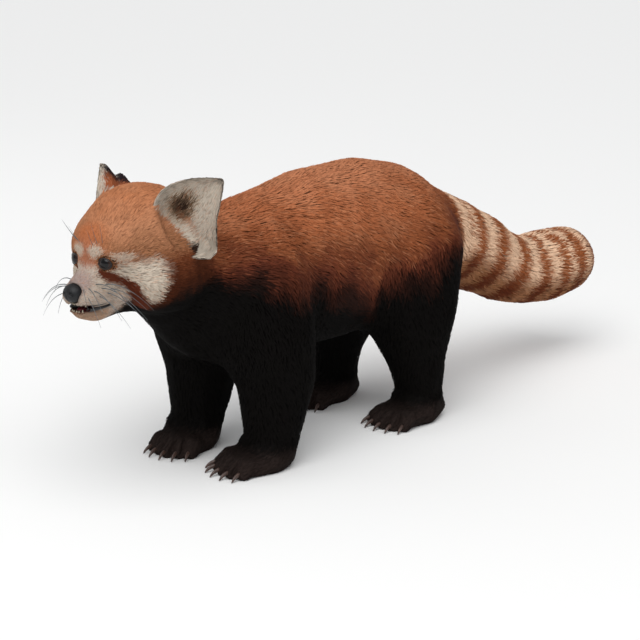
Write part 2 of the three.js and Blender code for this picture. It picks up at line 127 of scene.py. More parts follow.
# %% [markdown]
# ## Colours and shader nodes
#
# Colours are easiest to pick as the hex values of a paint program, but Blender adds up light in linear
# values. One function turns the first into the second. A second one adds a shader node, sets its sockets
# and makes its links, so that each material reads as a short list.

# %% Helpers for colours and nodes
def linear(hex_colour):
    """The linear red, green, blue and alpha of an sRGB hex colour."""
    channels = [int(hex_colour[start:start + 2], 16) / 255 for start in (1, 3, 5)]
    return tuple(c / 12.92 if c <= 0.04045 else ((c + 0.055) / 1.055) ** 2.4 for c in channels) + (1.0,)


def paint(hex_colour):
    """The same colour as an array of three, for the markings."""
    return np.array(linear(hex_colour)[:3])


def add_node(tree, kind, sockets=None, **settings):
    """One shader node: settings are its own properties, sockets its values or what feeds them."""
    made = tree.nodes.new(kind)
    for name, value in settings.items():
        setattr(made, name, value)
    for name, value in (sockets or {}).items():
        if isinstance(value, bpy.types.NodeSocket):
            tree.links.new(value, made.inputs[name])
        else:
            made.inputs[name].default_value = value
    return made


def new_material(name):
    """An empty node material with its output, ready for a surface."""
    made = bpy.data.materials.new(name)
    made.use_nodes = True
    made.node_tree.nodes.clear()
    output = add_node(made.node_tree, "ShaderNodeOutputMaterial")
    return made, made.node_tree, output


print("middle grey is", round(linear("#808080")[0], 3), "in linear light")

# %% [markdown]
# ## The studio
#
# A pale floor and soft light from big panels, as for a catalogue picture. The panels are large, so the
# shadow under the belly has no edge and the dark legs keep some form. A very soft sun stands for the
# ceiling's panels, and lights the floor evenly as far as one can see. The world fills the shadows.
#
# The plain "Standard" view shows the paints as they are, with true blacks. The filmic views lift blacks
# and grey the reds, and this animal is mostly black and red.

# %% Build the floor and the lights
FLOOR_SIZE = 60.0
WORLD_STRENGTH = 0.42
SUN_STRENGTH = 1.85
SUN_SOFTNESS = math.radians(70)
SUN_WAY = Vector((0.35, -0.45, 1.0))
PANEL_AIM = Vector((0, 0, 0.15))
# position and size in metres, and watts
PANELS = {
    "key panel": ((0.9, -1.6, 1.9), 1.4, 12),
    "fill panel": ((-1.8, -0.9, 0.9), 1.6, 4),
}

bpy.context.scene.view_settings.view_transform = "Standard"
floor_shape = bmesh.new()
bmesh.ops.create_grid(floor_shape, x_segments=8, y_segments=8, size=FLOOR_SIZE / 2)
floor = add_object("floor", mesh_of(floor_shape, "floor"))

floor_material, tree, output = new_material("matt white floor paint")
place = add_node(tree, "ShaderNodeTexCoord")
grain = add_node(tree, "ShaderNodeTexNoise", {
    "Vector": place.outputs["Object"],
    "Scale": 900.0,
    "Detail": 2.0,
})
bump = add_node(tree, "ShaderNodeBump", {
    "Strength": 0.05,
    "Distance": 0.2 * MM,
    "Height": grain.outputs["Fac"],
})
surface = add_node(tree, "ShaderNodeBsdfPrincipled", {
    "Base Color": linear("#FAFAF9"),
    "Roughness": 0.9,
    "Normal": bump.outputs["Normal"],
})
tree.links.new(surface.outputs["BSDF"], output.inputs["Surface"])
floor.data.materials.append(floor_material)

world = bpy.data.worlds.new("studio")
bpy.context.scene.world = world
world.use_nodes = True
background = world.node_tree.nodes["Background"]
background.inputs["Color"].default_value = linear("#F7F8FA")
background.inputs["Strength"].default_value = WORLD_STRENGTH

sun = add_object("ceiling light", bpy.data.lights.new("ceiling light", "SUN"))
sun.data.angle = SUN_SOFTNESS
sun.data.energy = SUN_STRENGTH
sun.rotation_euler = SUN_WAY.to_track_quat("Z", "Y").to_euler()
for name, (position, size, watts) in PANELS.items():
    panel = add_object(name, bpy.data.lights.new(name, "AREA"))
    panel.data.size = size
    panel.data.energy = watts
    panel.location = position
    panel.rotation_euler = (Vector(position) - PANEL_AIM).to_track_quat("Z", "Y").to_euler()

# %% [markdown]
# ## Measures of the animal
#
# The head's own axes have x to the animal's left, y backward and z up, with the origin in the middle of
# the skull. A place on the face is easiest to give there, because the two sides mirror each other in x.
# Each ear has axes too: along its base line, up to its tip, and out of its hollow.

# %% The head's and ears' own axes
HEAD_PLACE = np.array([5.0, -320.0, 228.0])
HEAD_TURN = np.array(Matrix.Rotation(math.radians(3), 3, "Z") @ Matrix.Rotation(math.radians(-1), 3, "Y"))

EYE_PLACE = [18.0, -54.5, 2.5]
EYE_RADIUS = 8.4
NOSE_TIP = np.array([0.0, -88.0, -21.0])
MOUTH_PLANE = -35.0
MOUTH_CORNER = -50.0
MOUTH_FRONT = -90.0
MOUTH_GAPE = 4.5

EAR_FOOT = np.array([61.0, 2.6, 32.0])
EAR_ALONG = np.array([0.555, 0.359, -0.751])
EAR_UP = np.array([0.492, 0.585, 0.644])
EAR_FRONT = np.array([0.671, -0.727, 0.148])


def to_head(points):
    """Points of the row frame, in metres, as millimetres on the head's axes."""
    return (np.asarray(points) / MM - HEAD_PLACE) @ HEAD_TURN


def from_head(points):
    """Millimetres on the head's axes as points of the row frame, in metres."""
    return (np.asarray(points, float) @ HEAD_TURN.T + HEAD_PLACE) * MM


def mirror_to_left(head_points):
    """What each place is multiplied by to lie on the left side of the head."""
    return np.where(head_points[:, :1] < 0, [[-1, 1, 1]], [[1, 1, 1]])


def on_ear(head_points):
    """Places on the nearer ear's axes: along, up and out of its hollow. The right ear is mirrored."""
    mirrored = head_points * mirror_to_left(head_points)
    return (mirrored - EAR_FOOT) @ np.stack([EAR_ALONG, EAR_UP, EAR_FRONT], 1)


def fade(value, low, high):
    """0 below low, 1 above high, and a smooth step between them."""
    t = np.clip((value - low) / (high - low), 0, 1)
    return t * t * (3 - 2 * t)


def unit(vectors):
    """The vectors, row by row, at length one."""
    return vectors / np.maximum(np.linalg.norm(vectors, axis=1, keepdims=True), 1e-9)


print("nose tip in mm:", from_head(NOSE_TIP) / MM)

# %% [markdown]
# ## One skin over the flesh
#
# The solids are cut flat where they meet, and a seam would show there. So copies of them are grown by a
# fraction of a millimetre until they touch, and the Remesh modifier wraps one closed surface round them
# all. It is a way of working like laying wet clay over an armature: what was many pieces is one form.
#
# The teeth are pushed flat first, since they are made apart later, and the eyeballs are wrapped in too, so
# that the lids can be drawn over them.

# %% Join the flesh
SIDES = ("left", "right")
LEGS = [f"{side}_{end}" for side in SIDES for end in ("fore", "hind")]
FLESH = ["head", "lower_jaw", "neck", "trunk", "tail_root", "tail_middle", "tail_end"]
FLESH += [f"{side}_ear" for side in SIDES]
FLESH += [f"{leg}leg" for leg in LEGS] + [f"{leg}foot" for leg in LEGS]
JOIN_GROWTH = 0.5 * MM
SKIN_CELL = 1.35 * MM
FIRST_TOOTH = MOUTH_CORNER - 5


def merged_copy(node, growth=0.0):
    """A copy of a solid with its shared corners merged, grown along its normals."""
    shape = bmesh.new()
    shape.from_mesh(nodes[node].data)
    bmesh.ops.remove_doubles(shape, verts=shape.verts, dist=0.01 * MM)
    shape.normal_update()
    for corner in shape.verts:
        corner.co += corner.normal * growth
    return shape


def flatten_teeth(shape, node):
    """Pushes the teeth of the head or the lower jaw back to the gum they stand on."""
    for corner in shape.verts:
        x, y, z = to_head(corner.co)
        gum = MOUTH_PLANE
        if node == "lower_jaw":
            gum -= MOUTH_GAPE * (y - MOUTH_CORNER) / (MOUTH_FRONT - MOUTH_CORNER)
            stands_out = z > gum
        else:
            stands_out = z < gum
        if stands_out and y < FIRST_TOOTH:
            corner.co = Vector(from_head([x, y, gum]))


flesh = []
for node in FLESH + ["left_eye", "right_eye"]:
    shape = merged_copy(node, JOIN_GROWTH)
    if node in ("head", "lower_jaw"):
        flatten_teeth(shape, node)
    flesh.append(shape)
raw_skin = modified(joined(flesh, "flesh"), "raw skin", "REMESH", mode="VOXEL", voxel_size=SKIN_CELL)
print("raw skin:", len(raw_skin.vertices), "vertices")

# %% [markdown]
# ## Which part is this?
#
# Coat length, lie and colour all change from part to part. Each place on the skin looks up the solid that
# is nearest to it, and values that differ between parts are then blurred over the surface, because on an
# animal nothing changes at a line.

# %% Look up parts and blur values
NAMES = sorted(nodes)


def solid_finder():
    """A search tree over all the solids' triangles, and which solid each triangle is of."""
    corners, faces, owners = [], [], []
    for index, name in enumerate(NAMES):
        mesh = nodes[name].data
        start = len(corners)
        corners += [v.co.copy() for v in mesh.vertices]
        faces += [[start + i for i in p.vertices] for p in mesh.polygons]
        owners += [index] * len(mesh.polygons)
    return BVHTree.FromPolygons(corners, faces), np.array(owners)


solid_tree, solid_owner = solid_finder()


def part_names(points):
    """The name of the nearest solid for each point."""
    found = [solid_tree.find_nearest(Vector(p))[2] for p in points.tolist()]
    return np.array(NAMES)[solid_owner[np.array(found)]]


def read_mesh(mesh):
    """A mesh's vertices and edges as arrays."""
    points = np.empty(len(mesh.vertices) * 3)
    mesh.vertices.foreach_get("co", points)
    edges = np.empty(len(mesh.edges) * 2, int)
    mesh.edges.foreach_get("vertices", edges)
    return points.reshape(-1, 3), edges.reshape(-1, 2)


def blurred(values, edges, rounds, share=0.5):
    """Values at vertices, each moved toward its neighbours' mean. share may differ by vertex."""
    values = np.array(values, float)
    flat = values.ndim == 1
    values = values.reshape(len(values), -1)
    count = len(values)
    reach = np.bincount(edges.ravel(), minlength=count)[:, None]
    share = np.broadcast_to(np.asarray(share, float).reshape(-1, 1), (count, 1))
    for _ in range(rounds):
        mean = np.stack([
            np.bincount(edges[:, 0], column[edges[:, 1]], count)
            + np.bincount(edges[:, 1], column[edges[:, 0]], count)
            for column in values.T
        ], 1) / reach
        values += (mean - values) * share
    return values[:, 0] if flat else values


def vertex_normals(mesh):
    """The mesh's vertex normals as an array."""
    normals = np.empty(len(mesh.vertices) * 3)
    mesh.vertex_normals.foreach_get("vector", normals)
    return normals.reshape(-1, 3)


points, edges = read_mesh(raw_skin)
parts = part_names(points)
print("vertices by part:", {n: int((parts == n).sum()) for n in FLESH[:4]})

# %% [markdown]
# ## From clay to skin
#
# The wrapped surface still shows the flat facets of the solids, so it is blurred: strongly on the body,
# legs and the ruff under the cheeks, where the form is broad, and little on the face, ears and feet, whose
# small forms would melt. Then it is drawn in along its normals by the depth of the coat, so that the
# fur's tips end where the solids do, and grooves are pressed in between the toes.

# %% Smooth the surface and draw it in by the coat's depth
SMOOTHING = {"head": 0.16, "lower_jaw": 0.1, "ear": 0.1, "foot": 0.07, "eye": 0.02, "leg": 0.8}
BODY_SMOOTHING = 0.9
RUFF_SMOOTHING = 0.6
SMOOTHING_SHARE = 0.6
SMOOTHING_ROUNDS = 45
PART_EDGE_ROUNDS = 8
NORMAL_ROUNDS = 6
DEPTH_ROUNDS = 14
# in millimetres
COAT_DEPTH = {
    "head": 2.0, "lower_jaw": 1.0, "ear": 0.9, "foot": 1.2, "leg": 2.6, "eye": 0.0,
    "neck": 3.2, "trunk": 3.4, "tail": 3.8, "nose": 0.6, "tongue": 0.3, "claw": 0.6,
}
MUZZLE_DEPTH_LOSS = 0.55


def holds(parts, word):
    """True for each part whose name holds the word."""
    return np.char.find(parts, word) >= 0


def by_part(parts, table, otherwise=0.0):
    """A value for each vertex from the word that its part's name holds."""
    values = np.full(len(parts), otherwise)
    for word, value in table.items():
        values[holds(parts, word)] = value
    return values


def muzzle_share(head_points):
    """1 on the short-haired muzzle, chin and eyelids, and 0 on the rest of the head."""
    return fade(-head_points[:, 1], 44, 58)


def coat_depth(points, parts, edges):
    """The coat's depth at each vertex, in millimetres, blurred where parts meet."""
    depth = by_part(parts, COAT_DEPTH)
    on_face = (parts == "head") | (parts == "lower_jaw")
    thinner = 1 - MUZZLE_DEPTH_LOSS * muzzle_share(to_head(points))
    return blurred(np.where(on_face, depth * thinner, depth), edges, DEPTH_ROUNDS)


CLAWS = 5
ANKLE_HEIGHT = 26
TOE_GROOVE_DEPTH = 3.6
TOE_GROOVE_WIDTH = 2.1
TOE_LENGTH = 20


def part_toes(points, parts, normals):
    """Presses a groove into the foot between each two neighbouring claws."""
    places = points / MM
    pressed = np.zeros(len(points))
    for leg in LEGS:
        foot = parts == f"{leg}foot"
        claws = []
        for number in range(1, CLAWS + 1):
            claw = merged_copy(f"{leg}_claw_{number}")
            claws.append(np.mean([corner.co[:] for corner in claw.verts], 0) / MM)
            claw.free()
        ankle = places[foot & (places[:, 2] > ANKLE_HEIGHT)].mean(0)
        for one, other in zip(claws, claws[1:]):
            gap = (one + other) / 2
            back = (ankle - gap)[:2]
            back /= np.linalg.norm(back)
            away = places[:, :2] - gap[:2]
            behind = away @ back
            beside = away @ [back[1], -back[0]]
            groove = np.exp(-(beside / TOE_GROOVE_WIDTH) ** 2)
            groove = groove * (1 - fade(behind, TOE_LENGTH - 8, TOE_LENGTH))
            pressed = np.maximum(pressed, groove * foot * fade(normals[:, 2], -0.6, -0.2))
    return points - normals * (pressed * TOE_GROOVE_DEPTH * MM)[:, None]


share = by_part(parts, SMOOTHING, BODY_SMOOTHING)
local = to_head(points)
ruff = (parts == "head") * fade(local[:, 1], -35, -12) * (1 - fade(local[:, 2], -8, 10))
share = blurred(share + RUFF_SMOOTHING * ruff, edges, PART_EDGE_ROUNDS) * SMOOTHING_SHARE
points = blurred(points, edges, SMOOTHING_ROUNDS, share)
raw_skin.vertices.foreach_set("co", points.ravel())
raw_skin.update()
depth = coat_depth(points, parts, edges)
normals = unit(blurred(vertex_normals(raw_skin), edges, NORMAL_ROUNDS))
points -= normals * depth[:, None] * MM
points = part_toes(points, parts, normals)
print("coat depth in mm:", round(depth.min(), 2), "to", round(depth.max(), 2))

# %% [markdown]
# ## Eyelids
#
# A red panda's eye is a small dark almond, set deep beside the bridge of the nose, with a thin dark edge.
# The skin that was wrapped round the eyeball becomes the lids: inside an oval it is pushed back behind
# the ball, and round that oval it is left as a thin fold that lies on the ball.

# %% Open the eyes
EYE_GAZE = np.array([0.30, -0.945, 0.03])
EYE_UP = np.array([0.0, 0.0, 1.0])
LID_HALF_WIDTH = 6.4
LID_HALF_HEIGHT = 4.7
LID_THICKNESS = 0.7
LID_TILT = math.radians(-10)
LID_MARGIN = 4
BEHIND_BALL = 1.6


def eye_axes(side):
    """The eye's middle and its axes on the head: outward, up and along the gaze."""
    mirror = np.array([side, 1, 1])
    gaze = EYE_GAZE * mirror / np.linalg.norm(EYE_GAZE)
    outward = np.cross(gaze, EYE_UP) * -side
    outward /= np.linalg.norm(outward)
    up = np.cross(gaze, outward) * -side
    up *= np.sign(up[2])
    turn = math.cos(LID_TILT), math.sin(LID_TILT)
    return EYE_PLACE * mirror, outward * turn[0] + up * turn[1], up * turn[0] - outward * turn[1], gaze


def lid_reach(head_points, side):
    """How far a place is from the middle of the lids' oval: 1 is on its edge. Behind the ball it is 9."""
    middle, outward, up, gaze = eye_axes(side)
    away = head_points - middle
    reach = np.hypot((away @ outward) / LID_HALF_WIDTH, (away @ up) / LID_HALF_HEIGHT)
    return np.where(away @ gaze > 0, reach, 9.0)


def open_eyes(points):
    """Pushes the skin back inside the lids' oval and lays it on the eyeball round that."""
    local = to_head(points)
    for side in (1, -1):
        middle = eye_axes(side)[0]
        away = local - middle
        distance = np.linalg.norm(away, axis=1)
        reach = lid_reach(local, side)
        near = distance < EYE_RADIUS + LID_MARGIN
        inside = near & (reach < 1)
        lid = near & (reach >= 1) & (reach < 9)
        wanted = distance.copy()
        wanted[inside] = EYE_RADIUS - BEHIND_BALL
        on_ball = 1 - fade(reach, 1.3, 1.9)
        least = EYE_RADIUS + LID_THICKNESS
        wanted[lid] += ((least - distance) * on_ball)[lid]
        wanted[lid] = np.maximum(wanted[lid], least)
        local[near] = middle + away[near] * (wanted / distance)[near, None]
    return from_head(local)


points = open_eyes(points)
raw_skin.vertices.foreach_set("co", points.ravel())
raw_skin.update()
print("eye centres in mm:", [np.round(from_head(eye_axes(s)[0]) / MM) for s in (1, -1)])

# %% [markdown]
# ## Fewer faces where the form is plain
#
# A close mesh all over would be more than one piece may hold. The Decimate modifier collapses edges where
# the surface is nearly flat, such as the flanks, and leaves the face, ears and toes fine.

# %% Thin the skin's mesh
SKIN_TRIANGLES = 170_000
raw_skin.calc_loop_triangles()
ratio = min(1.0, SKIN_TRIANGLES / len(raw_skin.loop_triangles))
skin_mesh = modified(raw_skin, "skin", "DECIMATE", ratio=ratio)
skin_shape = bmesh.new()
skin_shape.from_mesh(skin_mesh)
bmesh.ops.triangulate(skin_shape, faces=skin_shape.faces)
skin_shape.to_mesh(skin_mesh)
skin_shape.free()
skin_mesh.shade_smooth()
skin = add_object("skin", skin_mesh)
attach(skin, "root")
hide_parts(*FLESH)

points, edges = read_mesh(skin_mesh)
parts = part_names(points)
normals = vertex_normals(skin_mesh)
print("skin:", len(points), "vertices,", len(skin_mesh.polygons), "triangles")

# %% [markdown]
# ## Markings
#
# The red panda's colours are laid out by place: rufous on the back, black below and on the legs, a white
# mask with a dark stripe from each eye to the corner of the mouth, pale ears with dark backs, and a ringed
# tail. One function gives the colour of any place, and both the skin and each tuft ask it, so that the two
# always agree. Nothing is drawn on an image. The measures are millimetres on the head's own axes, or
# heights above the floor.

# %% Name the colours
RUFOUS = paint("#B4683F")
RUFOUS_PALE = paint("#C18460")
DARK_RED = paint("#5A2A1A")
BLACK = paint("#080605")
CREAM = paint("#C4B6A5")
MUZZLE_GREY = paint("#9D8884")
CHIN = paint("#A38670")
EAR_PALE = paint("#C2B7A8")
# dark of the ear's deep hollow, partly its own and partly painted shade; also the painted shadow under
# each ear's lobe
EAR_HOLLOW_AND_PAINTED_SHADE = paint("#2E2019")
EAR_TAN = paint("#8A6C4E")
EAR_BACK = paint("#231A1E")
EAR_ROOT = paint("#9A5636")
RUFF_BROWN = paint("#45200F")
EYE_SURROUND = paint("#8A5A3C")
RING_PALE = paint("#EFC7A6")
RING_DARK = paint("#98552F")
RING_END = paint("#7F4226")
MOUTH_RED = paint("#3A1012")
TOE = paint("#2C2320")
# from the black of the belly up to the pale back: partly the coat's own colours and partly painted shade,
# darker down the flanks and lighter on top as light falls from above
FLANK_TONES_AND_PAINTED_SHADE = ["#080605", "#2C150E", "#633120", "#8B4E2F", "#AA6440", "#C07C58"]
FLANK_STEPS = [-0.04, 0.1, 0.3, 0.52, 0.76, 1.0]
# from the throat up over the side of the head to the crown, with heights on the head's axes
HEAD_SHADES = ["#0F0A08", "#45200F", "#6A3820", "#966647", "#B47C5A", "#BA7852"]
HEAD_STEPS = [-44, -27, -8, 8, 26, 52]
MOTTLE_WAVES = 6


def mix(base, layer, share):
    """base with layer over it. share runs from 0, none, to 1, all of it."""
    share = np.asarray(share)[:, None]
    return base * (1 - share) + layer * share


def ladder(values, steps, shades):
    """Colours that pass evenly from shade to shade as a value passes the steps."""
    rungs = np.stack([paint(shade) for shade in shades])
    return np.stack([np.interp(values, steps, column) for column in rungs.T], 1)


def mottle(points, size, seed):
    """Soft uneven patches of about the given size in millimetres, from -1 to 1, as waves that cross."""
    turns = np.random.default_rng(100 + seed)
    total = np.zeros(len(points))
    for _ in range(MOTTLE_WAVES):
        wave = turns.normal(size=3)
        wave *= 2 * math.pi / (size * MM * 2) / np.linalg.norm(wave) * turns.uniform(0.7, 1.5)
        total += np.sin(points @ wave + turns.uniform(0, 2 * math.pi))
    return np.clip(total / 3, -1, 1)


print("shades on the flank:", len(FLANK_TONES_AND_PAINTED_SHADE), "and on the head:", len(HEAD_SHADES))

# %% [markdown]
# The body is rufous above and black below, with the change at a height that differs along its length.
# It is lowest at the loins, and highest at the chest and the root of the tail.

# %% Colour the body
BACK_HEIGHT = 276
BLACK_LINE_AT = [-293, -235, -190, -140, -100, -60, -5, 40, 100]
BLACK_LINE = [192, 188, 167, 165, 146, 124, 150, 172, 182]


def body_colours(points):
    """Rufous back, black belly and legs, and flanks darkened partly by painted shade. The black line is
    lowest at the loins.
    """
    y, z = points[:, 1] / MM, points[:, 2] / MM
    black_line = np.interp(y, BLACK_LINE_AT, BLACK_LINE)
    share = (z - black_line) / (BACK_HEIGHT - black_line)
    share += 0.07 * mottle(points, 26, 1) + 0.05 * mottle(points, 12, 9)
    colours = ladder(share, FLANK_STEPS, FLANK_TONES_AND_PAINTED_SHADE)
    bleached = fade(share, 0.35, 0.7) * fade(mottle(points, 20, 2), -0.1, 0.9)
    return mix(colours, RUFOUS_PALE, 0.28 * bleached)


print("black line in mm:", min(BLACK_LINE), "to", max(BLACK_LINE), "above the floor")

# %% [markdown]
# The tail has pale and rufous rings. They are placed by the distance along its middle line, so that they
# stay square to it where it bends, and they lie closer together toward the end.

# %% Colour the tail
TAIL_LINE = np.array([[0, 97, 182], [0, 142, 170], [0, 194, 147], [0, 243, 122], [0, 285, 111],
                      [0, 327, 109], [0, 369, 110], [0, 412, 112]], float)
PALE_RINGS = [-20, 22, 66, 116, 170, 214, 247, 281]
TAIL_START = 4
UNDER_TAIL_PAINTED_SHADE = np.array([0.66, 0.78, 0.86])


def along_tail(points):
    """For each point, how far along the tail's middle line it lies, that line's direction and height."""
    places = points / MM
    steps = np.diff(TAIL_LINE, axis=0)
    lengths = np.linalg.norm(steps, axis=1)
    starts = np.concatenate([[0], np.cumsum(lengths)])
    best = np.full(len(points), 1e9)
    along = np.zeros(len(points))
    heading = np.zeros((len(points), 3))
    height = np.zeros(len(points))
    for corner, step, length, start in zip(TAIL_LINE, steps, lengths, starts):
        share = np.clip((places - corner) @ step / length ** 2, 0, 1)
        foot = corner + share[:, None] * step
        apart = np.linalg.norm(places - foot, axis=1)
        nearer = apart < best
        best[nearer] = apart[nearer]
        along[nearer] = (start + share * length)[nearer]
        heading[nearer] = step / length
        height[nearer] = foot[nearer, 2]
    return along, heading, height


def tail_colours(points):
    """Pale and rufous rings, closer together toward the end, over a rufous root and tip, with painted
    shade darkening the underside.
    """
    along, _, height = along_tail(points)
    along += 4 * mottle(points, 14, 3)
    ring = np.interp(along, PALE_RINGS, np.arange(len(PALE_RINGS)))
    pale = 0.5 + 0.5 * np.cos(2 * math.pi * ring)
    colours = mix(np.tile(RING_DARK, (len(points), 1)), RING_PALE, fade(pale, 0.0, 1.0))
    colours = mix(colours, RING_END, fade(along, 278, 300))
    colours = mix(colours, RING_DARK, 0.85 * (1 - fade(along, 2, 18)))
    # painted shade: the tail is painted darker on its underside, as if lit from above
    below = fade(height - points[:, 2] / MM, -4, 24)
    colours *= 1 - below[:, None] * UNDER_TAIL_PAINTED_SHADE
    return mix(body_colours(points), colours, fade(along, -1, TAIL_START))


print("pale rings:", len(PALE_RINGS))

# %% [markdown]
# The mask is laid on in layers, as a face painter would: the crown first, then the white of the muzzle,
# cheeks and brows, then the dark stripe from each eye, and last the rims of the eyes and the mouth.

# %% Colour the head
STRIPE = np.array([[15, -62, -6], [21, -57, -10], [27, -49, -15], [34, -42, -22], [35, -37, -32],
                   [28, -31, -41]], float)
STRIPE_HALF_WIDTH = 5.0
STRIPE_END_HALF_WIDTH = 7.8
CHEEK = np.array([47.0, -36.0, -12.0])
CHEEK_SIZE = np.array([19.0, 17.0, 19.0])
BROW = np.array([11.0, -65.0, 11.5])
BROW_SIZE = np.array([9.0, 12.0, 7.0])
OVER_EYE = np.array([29.0, -54.0, 7.5])
OVER_EYE_SIZE = np.array([14.0, 15.0, 4.0])


def apart_from_line(places, line):
    """How far each place is from a line of corners."""
    apart = np.full(len(places), 1e9)
    for start, step in zip(line, np.diff(line, axis=0)):
        share = np.clip((places - start) @ step / (step @ step), 0, 1)
        apart = np.minimum(apart, np.linalg.norm(places - start - share[:, None] * step, axis=1))
    return apart


def patch_share(places, middle, size, uneven, low, high):
    """1 inside a rounded patch, fading to 0 over its frayed edge."""
    return 1 - fade(np.linalg.norm((places - middle) / size, axis=1) + uneven, low, high)


def head_colours(points):
    """The rufous crown, white brows, muzzle and cheeks, dark stripe, dark ruff under the ears, and a
    painted shadow under each ear's lobe.
    """
    local = to_head(points)
    x, y, z = local.T
    side = np.abs(x)
    near = np.stack([side, y, z], 1)
    uneven = 0.1 * mottle(points, 9, 4) + 0.06 * mottle(points, 4, 10)
    colours = ladder(z - 0.15 * side + 40 * uneven, HEAD_STEPS, HEAD_SHADES)
    colours = mix(colours, RUFOUS_PALE, 0.4 * fade(mottle(points, 14, 5), -0.3, 0.9) * fade(z, 0, 20))
    bridge = fade(-y, 50, 60) * fade(z, -14, 0) * (1 - fade(side, 6, 30))
    colours = mix(colours, RUFOUS, 0.8 * bridge)
    white_muzzle = fade(-y, 35, 45) * (1 - fade(z - 0.1 * side + 14 * uneven, -6, 3))
    colours = mix(colours, CREAM, white_muzzle)
    shade = fade(-y, 60, 78) * fade(z, -30, -14) * (1 - fade(side, 9, 18))
    colours = mix(colours, MUZZLE_GREY, 0.8 * shade + 0.3 * white_muzzle * fade(-z, 12, 30))
    colours = mix(colours, CREAM, 0.9 * patch_share(near, BROW, BROW_SIZE, uneven, 0.55, 1.25))
    colours = mix(colours, CREAM, 0.65 * patch_share(near, OVER_EYE, OVER_EYE_SIZE, uneven, 0.6, 1.3))
    dark_round = patch_share(near, CHEEK, CHEEK_SIZE, uneven, 1.25, 1.8) * fade(-z, 2, 22)
    colours = mix(colours, RUFF_BROWN, dark_round * fade(y, -46, -36))
    colours = mix(colours, CREAM, patch_share(near, CHEEK, CHEEK_SIZE, 1.6 * uneven, 0.6, 1.25))
    half_width = STRIPE_HALF_WIDTH + (STRIPE_END_HALF_WIDTH - STRIPE_HALF_WIDTH) * fade(-z, 6, 28)
    stripe = apart_from_line(near, STRIPE) / half_width + uneven
    colours = mix(colours, DARK_RED, 1 - fade(stripe, 0.65, 1.25))
    colours = mix(colours, BLACK, fade(-z, 38, 48) * fade(y, -56, -44))
    colours = mix(colours, BLACK, fade(-z + 0.3 * y, 30, 44) * fade(y, -30, -12))
    colours = mix(colours, CHIN, fade(-y, 50, 60) * fade(-z, 37, 40))
    for mirror in (1, -1):
        rim = lid_reach(local, mirror)
        colours = mix(colours, EYE_SURROUND, 1 - fade(rim, 1.4, 1.7))
        colours = mix(colours, BLACK, 1 - fade(rim, 1.12, 1.3))
    in_mouth = fade(-y, 50, 53) * (1 - fade(side, 13, 16)) * (1 - fade(np.abs(z + 36.5), 3.5, 5.5))
    in_mouth *= 1 - fade(-y, 80, 84)
    colours = mix(colours, MOUTH_RED, in_mouth)
    along, up, out = on_ear(local).T
    low_edge = np.interp(along, EAR_LOW_EDGE_AT, EAR_LOW_EDGE)
    before_ear = fade(up - low_edge, -1.5, 2.5) * (1 - fade(np.abs(along), 33, 38))
    before_ear *= fade(out, -30, -22) * fade(side, 22, 28)
    colours = mix(colours, inside_of_ear(along, up, points), before_ear)
    behind_ear = fade(up, 6, 12) * fade(-out, 15, 20) * fade(side, 20, 32)
    colours = mix(colours, back_of_ear(up), behind_ear)
    # painted shadow: the head is painted dark just under each ear's lobe
    shadow_under_lobe = np.linalg.norm(np.stack([(along - 23) / 10, (up + 11) / 5], 1), axis=1)
    return mix(colours, EAR_HOLLOW_AND_PAINTED_SHADE, (1 - fade(shadow_under_lobe, 0.6, 1.3)) * fade(side, 35, 45))


print("stripe from", STRIPE[0], "to", STRIPE[-1], "on the head")

# %% [markdown]
# The ears are pale and hairy within, their deep hollow dark partly of itself and partly by painted shade,
# and their backs are dark. With the ears done, one function joins all the parts' colours, and a second one
# stores them on a mesh.

# %% Colour the ears and join it all
EAR_LOW_EDGE_AT = [-38, -32, -24, -5, 9, 14, 22, 34]
EAR_LOW_EDGE = [-3, -9, -14, -14, -12, -14, -12, -7]
EAR_DEEPEST = np.array([-15.5, 3.5])
EAR_RIM = -6.5


def inside_of_ear(along, up, points):
    """White hair that thins to tan and dark over the deepest part of the hollow, where the dark is partly
    its own and partly painted shade.
    """
    deep = np.hypot(along - EAR_DEEPEST[0], (up - EAR_DEEPEST[1]) * 0.85) + 2.5 * mottle(points, 8, 6)
    colours = np.tile(EAR_PALE, (len(points), 1))
    colours = mix(colours, EAR_TAN, 0.85 * (1 - fade(deep, 8, 17)))
    return mix(colours, EAR_HOLLOW_AND_PAINTED_SHADE, 1 - fade(deep, 3, 14))


def back_of_ear(up):
    """Rufous hair at the base that darkens to blackish brown toward the tip."""
    return mix(np.tile(EAR_ROOT, (len(up), 1)), EAR_BACK, fade(up, 10, 24))


def ear_colours(points, normals):
    """White and hairy within, with a white rim, and dark backs that turn rufous at the base."""
    local = to_head(points)
    along, up, out = on_ear(local).T
    faces_front = (normals @ HEAD_TURN * mirror_to_left(local)) @ EAR_FRONT
    front = np.maximum(fade(faces_front, -0.25, 0.05), fade(out, EAR_RIM - 2, EAR_RIM + 2))
    return mix(back_of_ear(up), inside_of_ear(along, up, points), front)


HEAD_PARTS = ("head", "lower_jaw", "nose", "tongue", "left_eye", "right_eye")


